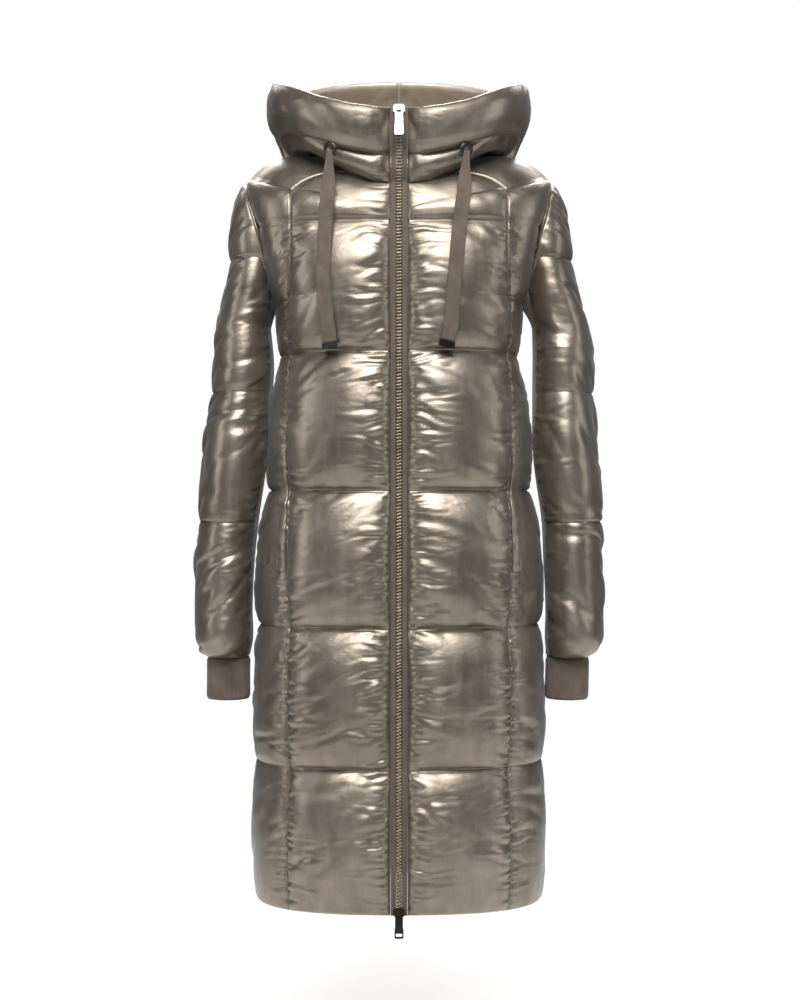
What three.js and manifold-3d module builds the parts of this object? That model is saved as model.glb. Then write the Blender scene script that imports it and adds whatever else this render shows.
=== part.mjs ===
// A long hooded puffer coat, zipped up and filled out as if worn, with nobody in it.
// Millimetres, +Z up. The front faces -Y and the wearer's left is +X. The origin lies
// between the shoulders, level with the sides of the neck, where the wearer holds the coat up.
// Every cloth piece is a wall: a plain inside, and an outside raised into quilted pads.
import * as THREE from "three";
import { mergeVertices } from "three/addons/utils/BufferGeometryUtils.js";
import Module from "manifold-3d";

const wasm = await Module();
wasm.setup();

// Driving sizes
const HEM_Z = -1040;
const SEAM_GAP = 0.3; // between two pieces that are sewn together
const SLIDER_GAP = 0.4;
const CLOTH_HALF = 1.5; // half the wall where it is stitched flat
const BODY_PAD = 24; // how far a pad on the body stands out
const SIDE_PAD = 9;
const SLEEVE_PAD = 9;
const INNER_SLEEVE_PAD = 3; // the side of the sleeve that lies against the body
const HOOD_PAD = 14;
const FRONT_SEAM_X = 145; // the long seams from the shoulder to the hem
const BACK_SEAM_X = 118;
const ZIP_TAPE_HALF = 11; // from the centre front to the tape's outer edge
const ZIP_CHAIN_HALF = 3.6;
const ZIP_TAPE_THICK = 1.4;
const ZIP_CHAIN_THICK = 2.6;
const ZIP_OFF = 1.6; // how far the zip lies in front of the cloth's middle
const ZIP_ON_BODY = 0.907; // the share of the zip that lies on the body, with the rest on the hood
const SLIDERS = { top: 0.9965, bottom: 0.004 }; // their places on the zip

// The body's rows. Level 0 is the hem, 1 to 5 are the quilting lines and 6 is the neck seam.
const BODY_ROWS = [
  { level: 0, z: HEM_Z, frontY: -146, backY: 146, backZ: HEM_Z, fullness: 0.8 },
  { level: 1, z: -848, frontY: -146, backY: 144, backZ: -848, fullness: 0.8 },
  { level: 2, z: -661, frontY: -144, backY: 140, backZ: -661, fullness: 0.8 },
  { level: 3, z: -477, frontY: -141, backY: 130, backZ: -477, fullness: 0.8 },
  { level: 4, z: -291, frontY: -138, backY: 124, backZ: -291, fullness: 0.82 },
  { level: 5, z: -117, frontY: -130, backY: 122, backZ: -117, fullness: 0.84 },
  { level: 5.45, z: -94, frontY: -125, backY: 110, backZ: -60, fullness: 0.88 },
  { level: 6, z: -66, frontY: -118, backY: 88, backZ: -6, fullness: 0.96 },
];

// The side seam, up to the armpit
const SIDE_SEAM = [
  { level: 0, x: 195, z: HEM_Z },
  { level: 1, x: 195, z: -848 },
  { level: 2, x: 190, z: -661 },
  { level: 2.7, x: 182, z: -532 },
  { level: 3, x: 176, z: -477 },
  { level: 3.4, x: 170, z: -400 },
  { level: 4, x: 162, z: -291 },
  { level: 4.42, x: 163, z: -216 },
];
const ARMPIT_LEVEL = 4.42;
const SHOULDER_LEVEL = 5.45;
const NECK_LEVEL = 6;

// The armhole is an ellipse that leans outwards at the top.
const ARMHOLE = { x: 184, z: -134, lean: 21, height: 82, depth: 66 };
const NECK_POINT = { x: 104, z: -14 };
const NECK_SEAMS = { frontX: 66, backX: 58 }; // where the long seams reach the neck

// The sleeve's sections below the armpit: its centre and its half width and half depth.
// The wearer's left elbow stands out a little further, by leftOut.
const SLEEVE_ROWS = [
  { z: -250, x: 213.5, y: -6, wide: 33, deep: 62, leftOut: 7.0 },
  { z: -300, x: 214, y: -8, wide: 38, deep: 66, leftOut: 12 },
  { z: -350, x: 218, y: -9, wide: 39.5, deep: 67, leftOut: 9 },
  { z: -427, x: 224.5, y: -11, wide: 40, deep: 66, leftOut: 4 },
  { z: -523, x: 236, y: -13, wide: 38.5, deep: 64, leftOut: 3 },
  { z: -580, x: 239, y: -14, wide: 36, deep: 61, leftOut: 0 },
  { z: -640, x: 240, y: -15, wide: 34.5, deep: 58, leftOut: 0 },
  { z: -694, x: 240, y: -16, wide: 33.5, deep: 54, leftOut: -1 },
  { z: -706, x: 237, y: -16, wide: 28, deep: 37, leftOut: -3.5 },
];
// How far outside the armhole the sleeve's own edge lies
const SLEEVE_START = { atArmpit: 7.4, atShoulder: 4.2 };
// How the sleeve's curve leaves the armhole and comes into the tube, as shares of its length
const SLEEVE_CURVE = { start: 0.12, endIn: 0.1, endUp: 0.42 };
const SLEEVE_RING_Z = -250; // where the shoulder's curve has become a plain tube
const SLEEVE_LINES = [-158, -342, -520, -706]; // three quilting lines and the end
// Angles round the sleeve, from straight out, positive towards the front
const SLEEVE_SEAMS = { front: 156, back: -128, frontStart: 136, backStart: -116 };
const CUFF = { topZ: -707.9, bottomZ: -765, x: 237, leftOut: -3.5, y: -16, wide: 28, deep: 37, ribs: 30 };
const CUFF_RIB_DEPTH = 0.9;

// The hood stands open behind the chin and its bag hangs down the back. Each column gives
// the distance from the neck's axis and the height, from the neck seam to the opening's edge.
const HOOD_ROWS = [
  { at: 0.0, frontR: 118, frontZ: -66, sideR: 104, sideZ: -14, backR: 88, backZ: -6, dip: 2 },
  { at: 0.08, frontR: 123, frontZ: -58, sideR: 120, sideZ: -5, backR: 96, backZ: 6, dip: 2.6 },
  { at: 0.2, frontR: 129, frontZ: -46, sideR: 151, sideZ: -3, backR: 138, backZ: -4, dip: 3.4 },
  { at: 0.32, frontR: 131, frontZ: -30, sideR: 163, sideZ: 12, backR: 164, backZ: -46, dip: 3.8 },
  { at: 0.44, frontR: 137, frontZ: -18, sideR: 168, sideZ: 22, backR: 172, backZ: -92, dip: 3.4 },
  { at: 0.56, frontR: 142, frontZ: -5, sideR: 170, sideZ: 32, backR: 196, backZ: -112, dip: 3 },
  { at: 0.68, frontR: 145, frontZ: 6, sideR: 171, sideZ: 44, backR: 220, backZ: -66, dip: 2.4 },
  { at: 0.8, frontR: 145.5, frontZ: 15, sideR: 171, sideZ: 58, backR: 214, backZ: 10, dip: 2 },
  { at: 0.92, frontR: 145, frontZ: 23, sideR: 168, sideZ: 73, backR: 180, backZ: 86, dip: 2 },
  { at: 1.0, frontR: 144, frontZ: 29, sideR: 163, sideZ: 86, backR: 140, backZ: 123, dip: 2 },
];
const NECK_GAP = { front: 0.5, side: 1.4 }; // the hood's lower edge above the body's neck edge
const HOOD_LINE = 0.32; // the stitched line above the cord's channel
const HOOD_FULLNESS = { seam: 0.96, bag: 0.84 }; // 1 is an ellipse, and less is squarer

// The hood's cord comes out of two eyelets in the channel as flat tapes with metal tips.
const EYELET = { at: 0.28, leftX: 84, rightX: -86, outer: 10, hole: 4.6, thick: 2.2 };
const CORD_TAPE = { wide: 19.5, thick: 1.6 };
const TAPE_TIP = { wide: 21, high: 8.5, thick: 4.4 };
const TAPE_PINCH = 0.42; // how narrow a tape is where it leaves its eyelet
// The middle of each tape, from its eyelet down over the front's pads to its tip
const TAPE_LEFT = [
  { x: 90.6, y: -133.1, z: -25 },
  { x: 89.2, y: -134.2, z: -38 },
  { x: 88, y: -135.4, z: -54 },
  { x: 87.2, y: -138, z: -70 },
  { x: 86.2, y: -142, z: -84 },
  { x: 84, y: -145.2, z: -98 },
  { x: 81.6, y: -147.2, z: -114 },
  { x: 79.8, y: -150, z: -132 },
  { x: 78, y: -153, z: -152 },
  { x: 76, y: -155.2, z: -172 },
  { x: 74, y: -156.4, z: -192 },
  { x: 72, y: -157, z: -212 },
  { x: 70.5, y: -157, z: -232 },
  { x: 69.6, y: -156, z: -252 },
  { x: 67.4, y: -154.6, z: -266 },
  { x: 64.5, y: -153.2, z: -279 },
];
const TAPE_RIGHT = [
  { x: -92.7, y: -132.1, z: -24.2 },
  { x: -93, y: -133.2, z: -38 },
  { x: -93.6, y: -134.4, z: -54 },
  { x: -94.4, y: -137, z: -70 },
  { x: -95, y: -141, z: -84 },
  { x: -96, y: -143.4, z: -98 },
  { x: -97, y: -144.6, z: -114 },
  { x: -98, y: -146.4, z: -132 },
  { x: -99, y: -148.8, z: -152 },
  { x: -99.8, y: -150.6, z: -172 },
  { x: -100, y: -151.2, z: -192 },
  { x: -99.6, y: -151.2, z: -212 },
  { x: -98, y: -151.2, z: -232 },
  { x: -95.5, y: -150, z: -252 },
  { x: -93.5, y: -148.6, z: -266 },
  { x: -92, y: -147, z: -281 },
];

// The pocket's welt stands beside the front seam, on the side panel.
const WELT = { topZ: -421, bottomZ: -588, from: 3, wide: 15, thick: 2 };

// A slider's body lies over the teeth. Its bridge stands out from it and leaves a slot, and
// the bar at the top of the pull turns in the slot.
const SLIDER = {
  wide: 15.5,
  high: 12,
  thick: 3.2,
  bridgeWide: 4.5,
  bridgeHigh: 9,
  bridgeOut: 7,
  bridgeWall: 1.3,
  play: 0.4,
};
const PULL = {
  thick: 1.6,
  bar: 1.6,
  hang: -1.9,
  eyeWide: 6.4,
  eyeHigh: 3.2,
  topLong: 36,
  topWide: 12.4,
  bottomLong: 33,
  bottomWide: 12,
};
const PULLER = { topZ: -553, bottomZ: -577, x: -177, wide: 7.5, thick: 2.2 };

const COLOURS = {
  shell: { color: 0x9a9082, roughness: 0.34, metalness: 0.35 },
  rib: { color: 0x75675a, roughness: 0.9, metalness: 0 },
  tape: { color: 0x7d6d60, roughness: 0.85, metalness: 0 },
  teeth: { color: 0x8b7a68, roughness: 0.35, metalness: 0.6 },
  dark: { color: 0x3a3733, roughness: 0.35, metalness: 0.9 },
  silver: { color: 0xd8d8d8, roughness: 0.2, metalness: 1 },
  black: { color: 0x101010, roughness: 0.3, metalness: 0.6 },
};

const coat = new THREE.Group();
coat.name = "long_puffer_coat";

// Small sums
const mix = (a, b, t) => a + (b - a) * t;
const clamp = (v, low, high) => Math.min(high, Math.max(low, v));
const radians = (degrees) => (degrees * Math.PI) / 180;
const smooth = (t) => t * t * (3 - 2 * t);
const power = (base, exponent) => Math.pow(Math.max(base, 0), exponent);

// The value of a column at a place in a table, on a smooth curve through its rows
function fromTable(rows, key, at, column) {
  const rising = rows[rows.length - 1][key] > rows[0][key];
  let i = 0;
  while (i < rows.length - 2 && (rising ? at > rows[i + 1][key] : at < rows[i + 1][key])) i += 1;
  const [a, b] = [rows[i], rows[i + 1]];
  const slope = (p, q) => (q[column] - p[column]) / (q[key] - p[key]);
  const here = slope(a, b);
  const before = i > 0 ? slope(rows[i - 1], a) : here;
  const after = i < rows.length - 2 ? slope(b, rows[i + 2]) : here;
  const run = b[key] - a[key];
  const t = clamp((at - a[key]) / run, 0, 1);
  const start = before * here > 0 ? (before + here) / 2 : 0;
  const end = after * here > 0 ? (after + here) / 2 : 0;
  const [t2, t3] = [t * t, t * t * t];
  return (
    (2 * t3 - 3 * t2 + 1) * a[column] +
    (t3 - 2 * t2 + t) * run * (i > 0 ? start : here) +
    (3 * t2 - 2 * t3) * b[column] +
    (t3 - t2) * run * (i < rows.length - 2 ? end : here)
  );
}

// A closed wall between an outer and an inner grid of points. A ring closes on itself.
function wall(outer, inner, ring = false) {
  const rows = outer.length;
  const cols = outer[0].length;
  const points = [...outer.flat(), ...inner.flat()];
  const faces = [];
  const at = (layer, r, c) => layer * rows * cols + r * cols + (c % cols);
  const quad = (a, b, c, d) => faces.push(a, b, c, a, c, d);
  const last = ring ? cols : cols - 1;
  for (let r = 0; r < rows - 1; r += 1) {
    for (let c = 0; c < last; c += 1) {
      quad(at(0, r, c), at(0, r, c + 1), at(0, r + 1, c + 1), at(0, r + 1, c));
      quad(at(1, r, c), at(1, r + 1, c), at(1, r + 1, c + 1), at(1, r, c + 1));
    }
    if (!ring) {
      quad(at(0, r, 0), at(0, r + 1, 0), at(1, r + 1, 0), at(1, r, 0));
      quad(at(0, r, last), at(1, r, last), at(1, r + 1, last), at(0, r + 1, last));
    }
  }
  for (let c = 0; c < last; c += 1) {
    quad(at(0, 0, c), at(1, 0, c), at(1, 0, c + 1), at(0, 0, c + 1));
    quad(at(0, rows - 1, c), at(0, rows - 1, c + 1), at(1, rows - 1, c + 1), at(1, rows - 1, c));
  }
  return facingOut(points, faces);
}

// The geometry of a closed shape, turned so that its faces point outwards
function facingOut(points, faces) {
  let volume = 0;
  for (let i = 0; i < faces.length; i += 3) {
    const [a, b, c] = [points[faces[i]], points[faces[i + 1]], points[faces[i + 2]]];
    volume += a.dot(new THREE.Vector3().crossVectors(b, c));
  }
  const turned = [];
  for (let i = 0; i < faces.length; i += 3) {
    if (volume > 0) turned.push(faces[i], faces[i + 1], faces[i + 2]);
    else turned.push(faces[i], faces[i + 2], faces[i + 1]);
  }
  return new THREE.BufferGeometry().setFromPoints(points).setIndex(turned);
}

function addPiece(name, geometry, look) {
  const piece = new THREE.Mesh(geometry, new THREE.MeshStandardMaterial(COLOURS[look]));
  piece.name = name;
  coat.add(piece);
  return piece;
}

// The same grid on the wearer's other side, with its columns in the other order
const mirrored = (grid) => grid.map((row) => row.map((p) => new THREE.Vector3(-p.x, p.y, p.z)).reverse());

// A pair of pieces, from a grid function for the wearer's left
function addPair(name, outer, inner, look, ring = false) {
  addPiece(`${name}_left`, wall(outer, inner, ring), look);
  addPiece(`${name}_right`, wall(mirrored(outer), mirrored(inner), ring), look);
}

// How far a pad stands out across it, from one seam to the next, as a share
function padAcross(t, startShare, endShare) {
  const shoulder = 0.32;
  const rise = (x) => Math.sqrt(1 - (1 - x) * (1 - x));
  const start = t < shoulder ? mix(startShare, 1, rise(t / shoulder)) : 1;
  const end = t > 1 - shoulder ? mix(endShare, 1, rise((1 - t) / shoulder)) : 1;
  return start * end;
}

// The same from one quilting line up to the next. The filling settles a little low.
function padUp(t) {
  const settled = power(t, 0.86);
  return power(4 * settled * (1 - settled), 0.5);
}

// Where the body's surface ends at a level: the side seam, the armhole or the shoulder seam
function bodyEdge(level, back) {
  if (level <= ARMPIT_LEVEL) {
    return new THREE.Vector3(
      fromTable(SIDE_SEAM, "level", level, "x"),
      0,
      fromTable(SIDE_SEAM, "level", level, "z"),
    );
  }
  if (level <= SHOULDER_LEVEL) {
    const turn = Math.PI * (1 - (level - ARMPIT_LEVEL) / (SHOULDER_LEVEL - ARMPIT_LEVEL));
    return armholePoint(back ? -turn : turn);
  }
  const tip = armholePoint(0);
  const along = (level - SHOULDER_LEVEL) / (NECK_LEVEL - SHOULDER_LEVEL);
  const x = mix(tip.x, NECK_POINT.x, along);
  return new THREE.Vector3(x, 0, mix(NECK_POINT.z, tip.z, power(1 - along, 4)));
}

// A point of the armhole, by its angle from the shoulder's tip, positive towards the front
function armholePoint(turn) {
  return new THREE.Vector3(
    ARMHOLE.x + ARMHOLE.lean * Math.cos(turn),
    -ARMHOLE.depth * Math.sin(turn),
    ARMHOLE.z + ARMHOLE.height * Math.cos(turn),
  );
}

const ROW_STEPS = 40;
const FRONT_COLS = 6;
const SIDE_FRONT_COLS = 4;
const SIDE_BACK_COLS = 5;
const BACK_COLS = 4;
const rowCache = new Map();

// One level of the body from the centre to its edge, as points with their distance along it
function bodyRow(level, back) {
  const key = `${level.toFixed(5)}${back}`;
  if (rowCache.has(key)) return rowCache.get(key);
  const edge = bodyEdge(level, back);
  const value = (column) => fromTable(BODY_ROWS, "level", level, column);
  const middleY = value(back ? "backY" : "frontY");
  const middleZ = value(back ? "backZ" : "z");
  const fullness = value("fullness");
  const points = [];
  const along = [0];
  for (let i = 0; i <= ROW_STEPS; i += 1) {
    const turn = ((i / ROW_STEPS) * Math.PI) / 2;
    points.push(
      new THREE.Vector3(
        edge.x * power(Math.sin(turn), fullness),
        mix(edge.y, middleY, power(Math.cos(turn), fullness)),
        mix(middleZ, edge.z, Math.sin(turn) ** 2),
      ),
    );
    if (i > 0) along.push(along[i - 1] + points[i].distanceTo(points[i - 1]));
  }
  const row = { points, along };
  rowCache.set(key, row);
  return row;
}

// The distance along a level at which it reaches a given X
function bodyReach(level, back, x) {
  const { points, along } = bodyRow(level, back);
  let i = 0;
  while (i < points.length - 2 && points[i + 1].x < x) i += 1;
  const t = clamp((x - points[i].x) / (points[i + 1].x - points[i].x), 0, 1);
  return mix(along[i], along[i + 1], t);
}

const bodyLength = (level, back) => bodyRow(level, back).along[ROW_STEPS];

// The point at a distance along a level
function bodyPoint(level, back, reach) {
  const { points, along } = bodyRow(clamp(level, 0, NECK_LEVEL), back);
  let i = 0;
  while (i < points.length - 2 && along[i + 1] < reach) i += 1;
  const t = (reach - along[i]) / (along[i + 1] - along[i]);
  return new THREE.Vector3().lerpVectors(points[i], points[i + 1], t);
}

// The outward direction of the body's surface, from its neighbours on the same surface
function bodyNormal(level, back, reach) {
  const step = 0.04;
  const [low, high] = [Math.max(level - step, 0), Math.min(level + step, NECK_LEVEL)];
  const share = reach / bodyLength(level, back);
  const up = bodyPoint(high, back, share * bodyLength(high, back)).sub(
    bodyPoint(low, back, share * bodyLength(low, back)),
  );
  const long = bodyLength(level, back);
  const beside = bodyPoint(level, back, Math.min(reach + 6, long)).sub(
    bodyPoint(level, back, Math.max(reach - 6, 0)),
  );
  if (reach < 6) beside.set(1, 0, 0); // the two halves of the coat meet square to the centre
  if (reach > long - 6 && (level < ARMPIT_LEVEL || level > SHOULDER_LEVEL)) {
    beside.set(0, back ? -1 : 1, 0); // so do the front and the back at the side seam
  }
  const normal = new THREE.Vector3().crossVectors(beside, up);
  if (level > NECK_LEVEL - 0.001) normal.z = 0; // and the coat and the hood, at the neck
  normal.normalize();
  return back ? normal.negate() : normal;
}

// The long front seam bends in under the hood, towards the neck.
function seamX(level, back) {
  const straight = back ? BACK_SEAM_X : FRONT_SEAM_X;
  const inNeck = back ? NECK_SEAMS.backX : NECK_SEAMS.frontX;
  const bend = clamp((level - SHOULDER_LEVEL) / (NECK_LEVEL - SHOULDER_LEVEL), 0, 1);
  return mix(straight, inNeck, bend);
}

// The rows of a quilted piece: each pad has a few, close together beside its seams
const PAD_ROWS = [0, 0.1, 0.34, 0.66, 0.9];
const quiltLevels = (pads) => {
  const levels = [];
  for (let pad = 0; pad < pads; pad += 1) levels.push(...PAD_ROWS.map((t) => pad + t));
  return [...levels, pads];
};

// A body panel between two reaches, as an outer and an inner grid. Reaches are functions of
// the level, and shares say how much of the pad is left at each long seam.
function bodyPanel({ back, start, end, cols, pad, startShare, endShare }) {
  const outer = [];
  const inner = [];
  for (const level of quiltLevels(NECK_LEVEL)) {
    const [from, to] = [start(level), end(level)];
    const [outerRow, innerRow] = [[], []];
    for (let c = 0; c <= cols; c += 1) {
      const t = c / cols;
      const reach = mix(from, to, t);
      const point = bodyPoint(level, back, reach);
      const normal = bodyNormal(level, back, reach);
      const share = padUp(level - Math.min(Math.floor(level), NECK_LEVEL - 1));
      const lift = pad(level) * share * padAcross(t, startShare, endShare);
      outerRow.push(point.clone().addScaledVector(normal, CLOTH_HALF + lift));
      innerRow.push(point.clone().addScaledVector(normal, -CLOTH_HALF));
    }
    outer.push(outerRow);
    inner.push(innerRow);
  }
  return { outer, inner };
}

// A pad's depth shrinks where the pad is short, as over the shoulder and at the neck.
const bodyPad = (depth) => (level) => depth * mix(1, 0.45, smooth(clamp((level - 4.8) / 1.2, 0, 1)));

function makeBody() {
  // The seams that bend sharply, from the armpit up, are a little further apart.
  const half = (level) => SEAM_GAP / 2 + 0.3 * smooth(clamp((level - 4) / 0.25, 0, 1));
  const zipEdge = ZIP_TAPE_HALF + SEAM_GAP;
  const front = bodyPanel({
    back: false,
    start: (level) => bodyReach(level, false, zipEdge),
    end: (level) => bodyReach(level, false, seamX(level, false)) - half(level),
    cols: FRONT_COLS,
    pad: bodyPad(BODY_PAD),
    startShare: 0.12,
    endShare: 0.25,
  });
  addPair("front", front.outer, front.inner, "shell");
  const edgeInset = (level) =>
    half(level) + (level > ARMPIT_LEVEL - 0.05 && level < SHOULDER_LEVEL + 0.05 ? 0.6 : 0);
  for (const back of [false, true]) {
    const side = bodyPanel({
      back,
      start: (level) => bodyReach(level, back, seamX(level, back)) + half(level),
      end: (level) => bodyLength(level, back) - edgeInset(level),
      cols: back ? SIDE_BACK_COLS : SIDE_FRONT_COLS,
      pad: bodyPad(SIDE_PAD),
      startShare: 0.5,
      endShare: 0.45,
    });
    addPair(back ? "side_back" : "side_front", side.outer, side.inner, "shell");
  }
  const backHalf = bodyPanel({
    back: true,
    start: () => 0,
    end: (level) => bodyReach(level, true, seamX(level, true)) - half(level),
    cols: BACK_COLS,
    pad: bodyPad(BODY_PAD),
    startShare: 1,
    endShare: 0.3,
  });
  const whole = (grid) => grid.map((row, i) => [...mirrored(grid)[i].slice(0, -1), ...row]);
  addPiece("back", wall(whole(backHalf.outer), whole(backHalf.inner)), "shell");
}

// A point of the plain tube of the sleeve, by its angle from straight out
function sleeveRing(left, angle, z) {
  const value = (column) => fromTable(SLEEVE_ROWS, "z", z, column);
  return new THREE.Vector3(
    value("x") + (left ? value("leftOut") : 0) + value("wide") * Math.cos(angle),
    value("y") - value("deep") * Math.sin(angle),
    z,
  );
}

// A point of the sleeve on the line that starts at one armhole angle and runs down at another
// angle of the tube, at a height. Above the tube the line is a curve out of the armhole.
function sleevePoint(left, armAngle, ringAngle, z) {
  if (z <= SLEEVE_RING_Z) return sleeveRing(left, ringAngle, z);
  const top = (1 + Math.cos(armAngle)) / 2;
  const start = armholePoint(armAngle);
  start.x += mix(SLEEVE_START.atArmpit, SLEEVE_START.atShoulder, top);
  const end = sleeveRing(left, ringAngle, SLEEVE_RING_Z);
  const out = new THREE.Vector3(
    mix(0.25, 1, top),
    -0.4 * Math.sin(armAngle),
    mix(-1, -0.6, top),
  ).normalize();
  const long = start.distanceTo(end);
  const curve = new THREE.CubicBezierCurve3(
    start,
    start.clone().addScaledVector(out, long * SLEEVE_CURVE.start),
    end.clone().add(new THREE.Vector3(-SLEEVE_CURVE.endIn * long, 0, SLEEVE_CURVE.endUp * long)),
    end,
  );
  let [low, high] = [0, 1];
  for (let i = 0; i < 24; i += 1) {
    const middle = (low + high) / 2;
    if (curve.getPoint(middle).z > z) low = middle;
    else high = middle;
  }
  return curve.getPoint((low + high) / 2);
}

// The rows of the sleeve: the height each would have if the armhole weren't in the way,
// and its place in its pad, from 1 at the pad's top to 0 at its bottom
function sleeveRows() {
  const tops = [ARMHOLE.z + ARMHOLE.height, ...SLEEVE_LINES.slice(0, -1)];
  const rows = [];
  tops.forEach((top, pad) => {
    const bottom = SLEEVE_LINES[pad];
    const shares = pad === tops.length - 1 ? [1, 0.9, 0.66, 0.34, 0.1, 0.035] : [1, 0.9, 0.66, 0.34, 0.1];
    shares.forEach((share) => rows.push({ z: mix(bottom, top, share), share, pad, top, bottom }));
  });
  const end = SLEEVE_LINES[SLEEVE_LINES.length - 1];
  rows.push({ z: end, share: 0, pad: tops.length - 1, top: tops[tops.length - 1], bottom: end });
  return rows;
}

// Rows follow the armhole down where they meet it, each a little below the last.
const ROW_DROP = 2.4;
function sleeveHeight(wanted, index, armZ) {
  const limit = armZ - ROW_DROP * index;
  const soft = 6;
  const gap = clamp((limit - wanted) / soft, -1, 1);
  if (gap >= 1) return wanted;
  if (gap <= -1) return limit;
  return Math.min(wanted, limit) - (soft * (1 - Math.abs(gap)) ** 2) / 4;
}

function sleevePanel(left, from, to, cols, startShare, endShare) {
  const rows = sleeveRows();
  const outer = [];
  const inner = [];
  const place = (t, row, index) => {
    const armAngle = radians(mix(from.arm, to.arm, t));
    const ringAngle = radians(mix(from.ring, to.ring, t));
    const armZ = armholePoint(armAngle).z;
    return { armAngle, ringAngle, z: sleeveHeight(row.z, index, armZ), armZ };
  };
  rows.forEach((row, index) => {
    const [outerRow, innerRow] = [[], []];
    for (let c = 0; c <= cols; c += 1) {
      const t = c / cols;
      const { armAngle, ringAngle, z, armZ } = place(t, row, index);
      const startZ = Math.min(z, armZ - 1.6);
      const point = sleevePoint(left, armAngle, ringAngle, startZ);
      const above = sleevePoint(left, armAngle, ringAngle, Math.min(startZ + 2, armZ));
      const below = sleevePoint(left, armAngle, ringAngle, Math.max(startZ - 2, rows[rows.length - 1].z));
      const turn = radians(2);
      const spread = (to.arm - from.arm) / (to.ring - from.ring);
      const side = (sign) => {
        const arm = armAngle + sign * turn * spread;
        return sleevePoint(left, arm, ringAngle + sign * turn, Math.min(startZ, armholePoint(arm).z));
      };
      const normal = new THREE.Vector3()
        .crossVectors(above.sub(below), side(1).sub(side(-1)))
        .normalize();
      if (index === rows.length - 1) normal.set(0, 0, -1);
      const room = clamp((Math.min(row.top, armZ) - row.bottom) / 110, 0, 1);
      const inside = smooth(clamp((Math.abs(radians(180) - Math.abs(ringAngle)) - 0.5) / 0.9, 0, 1));
      const depth = mix(INNER_SLEEVE_PAD, SLEEVE_PAD, inside) * smooth(room);
      const up = row.pad === 0 && row.share > 0.5 ? Math.max(padUp(row.share), 0.3) : padUp(row.share);
      const lift = depth * up * padAcross(t, startShare, endShare);
      outerRow.push(point.clone().addScaledVector(normal, CLOTH_HALF + lift));
      innerRow.push(point.clone().addScaledVector(normal, -CLOTH_HALF));
    }
    outer.push(outerRow);
    inner.push(innerRow);
  });
  return { outer, inner };
}

function makeSleeves() {
  const gap = 0.25; // degrees on each side of a seam
  const { front, back, frontStart, backStart } = SLEEVE_SEAMS;
  for (const side of ["left", "right"]) {
    const left = side === "left";
    const turned = (grid) => (left ? grid : mirrored(grid));
    const topFrom = { arm: frontStart - gap, ring: front - gap };
    const topTo = { arm: backStart + gap, ring: back + gap };
    const top = sleevePanel(left, topFrom, topTo, 10, 0.35, 0.45);
    addPiece(`sleeve_top_${side}`, wall(turned(top.outer), turned(top.inner)), "shell");
    const underFrom = { arm: frontStart + gap, ring: front + gap };
    const underTo = { arm: backStart + 360 - gap, ring: back + 360 - gap };
    const under = sleevePanel(left, underFrom, underTo, 4, 0.35, 0.45);
    addPiece(`sleeve_under_${side}`, wall(turned(under.outer), turned(under.inner)), "shell");
  }
}

// A knitted cuff: a tube with a raised rib at every second point
function makeCuffs() {
  const cols = CUFF.ribs * 2;
  const heights = [CUFF.topZ, CUFF.bottomZ];
  const ring = (x, z, lift) =>
    Array.from({ length: cols }, (_, c) => {
      const angle = (c / cols) * 2 * Math.PI;
      const rib = lift > 0 && c % 2 ? CUFF_RIB_DEPTH : 0;
      return new THREE.Vector3(
        x + (CUFF.wide + lift + rib) * Math.cos(angle),
        CUFF.y - (CUFF.deep + lift + rib) * Math.sin(angle),
        z,
      );
    });
  for (const side of ["left", "right"]) {
    const x = side === "left" ? CUFF.x + CUFF.leftOut : CUFF.x;
    const outer = heights.map((z) => ring(x, z, CLOTH_HALF));
    const inner = heights.map((z) => ring(x, z, -CLOTH_HALF + 0.5));
    const turned = (grid) => (side === "left" ? grid : mirrored(grid));
    addPiece(`cuff_${side}`, wall(turned(outer), turned(inner), true), "rib");
  }
}

// A point of the hood: turn goes from 0 at the chin to 180 degrees at the back of the neck
function hoodPoint(turn, at) {
  const value = (column) => fromTable(HOOD_ROWS, "at", at, column);
  const [sin, cos] = [Math.sin(turn), Math.cos(turn)];
  const fullness = mix(HOOD_FULLNESS.seam, HOOD_FULLNESS.bag, smooth(clamp(at / 0.3, 0, 1)));
  const isBack = cos < 0;
  const middleR = value(isBack ? "backR" : "frontR");
  const middleZ = value(isBack ? "backZ" : "frontZ");
  const away = power(Math.abs(cos), fullness);
  const dip = isBack ? 2 : value("dip");
  return new THREE.Vector3(
    value("sideR") * power(sin, fullness),
    (isBack ? 1 : -1) * middleR * away,
    mix(value("sideZ"), middleZ, power(Math.abs(cos), dip)),
  );
}

function hoodNormal(turn, at) {
  const [low, high] = [Math.max(at - 0.02, 0), Math.min(at + 0.02, 1)];
  const up = hoodPoint(turn, high).sub(hoodPoint(turn, low));
  const step = radians(3);
  const beside = hoodPoint(Math.min(turn + step, Math.PI), at).sub(
    hoodPoint(Math.max(turn - step, 0), at),
  );
  if (turn < step) beside.set(1, 0, 0);
  if (turn > Math.PI - step) beside.set(-1, 0, 0);
  const normal = new THREE.Vector3().crossVectors(beside, up);
  if (at < 0.001) normal.z = 0;
  return normal.normalize();
}

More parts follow.
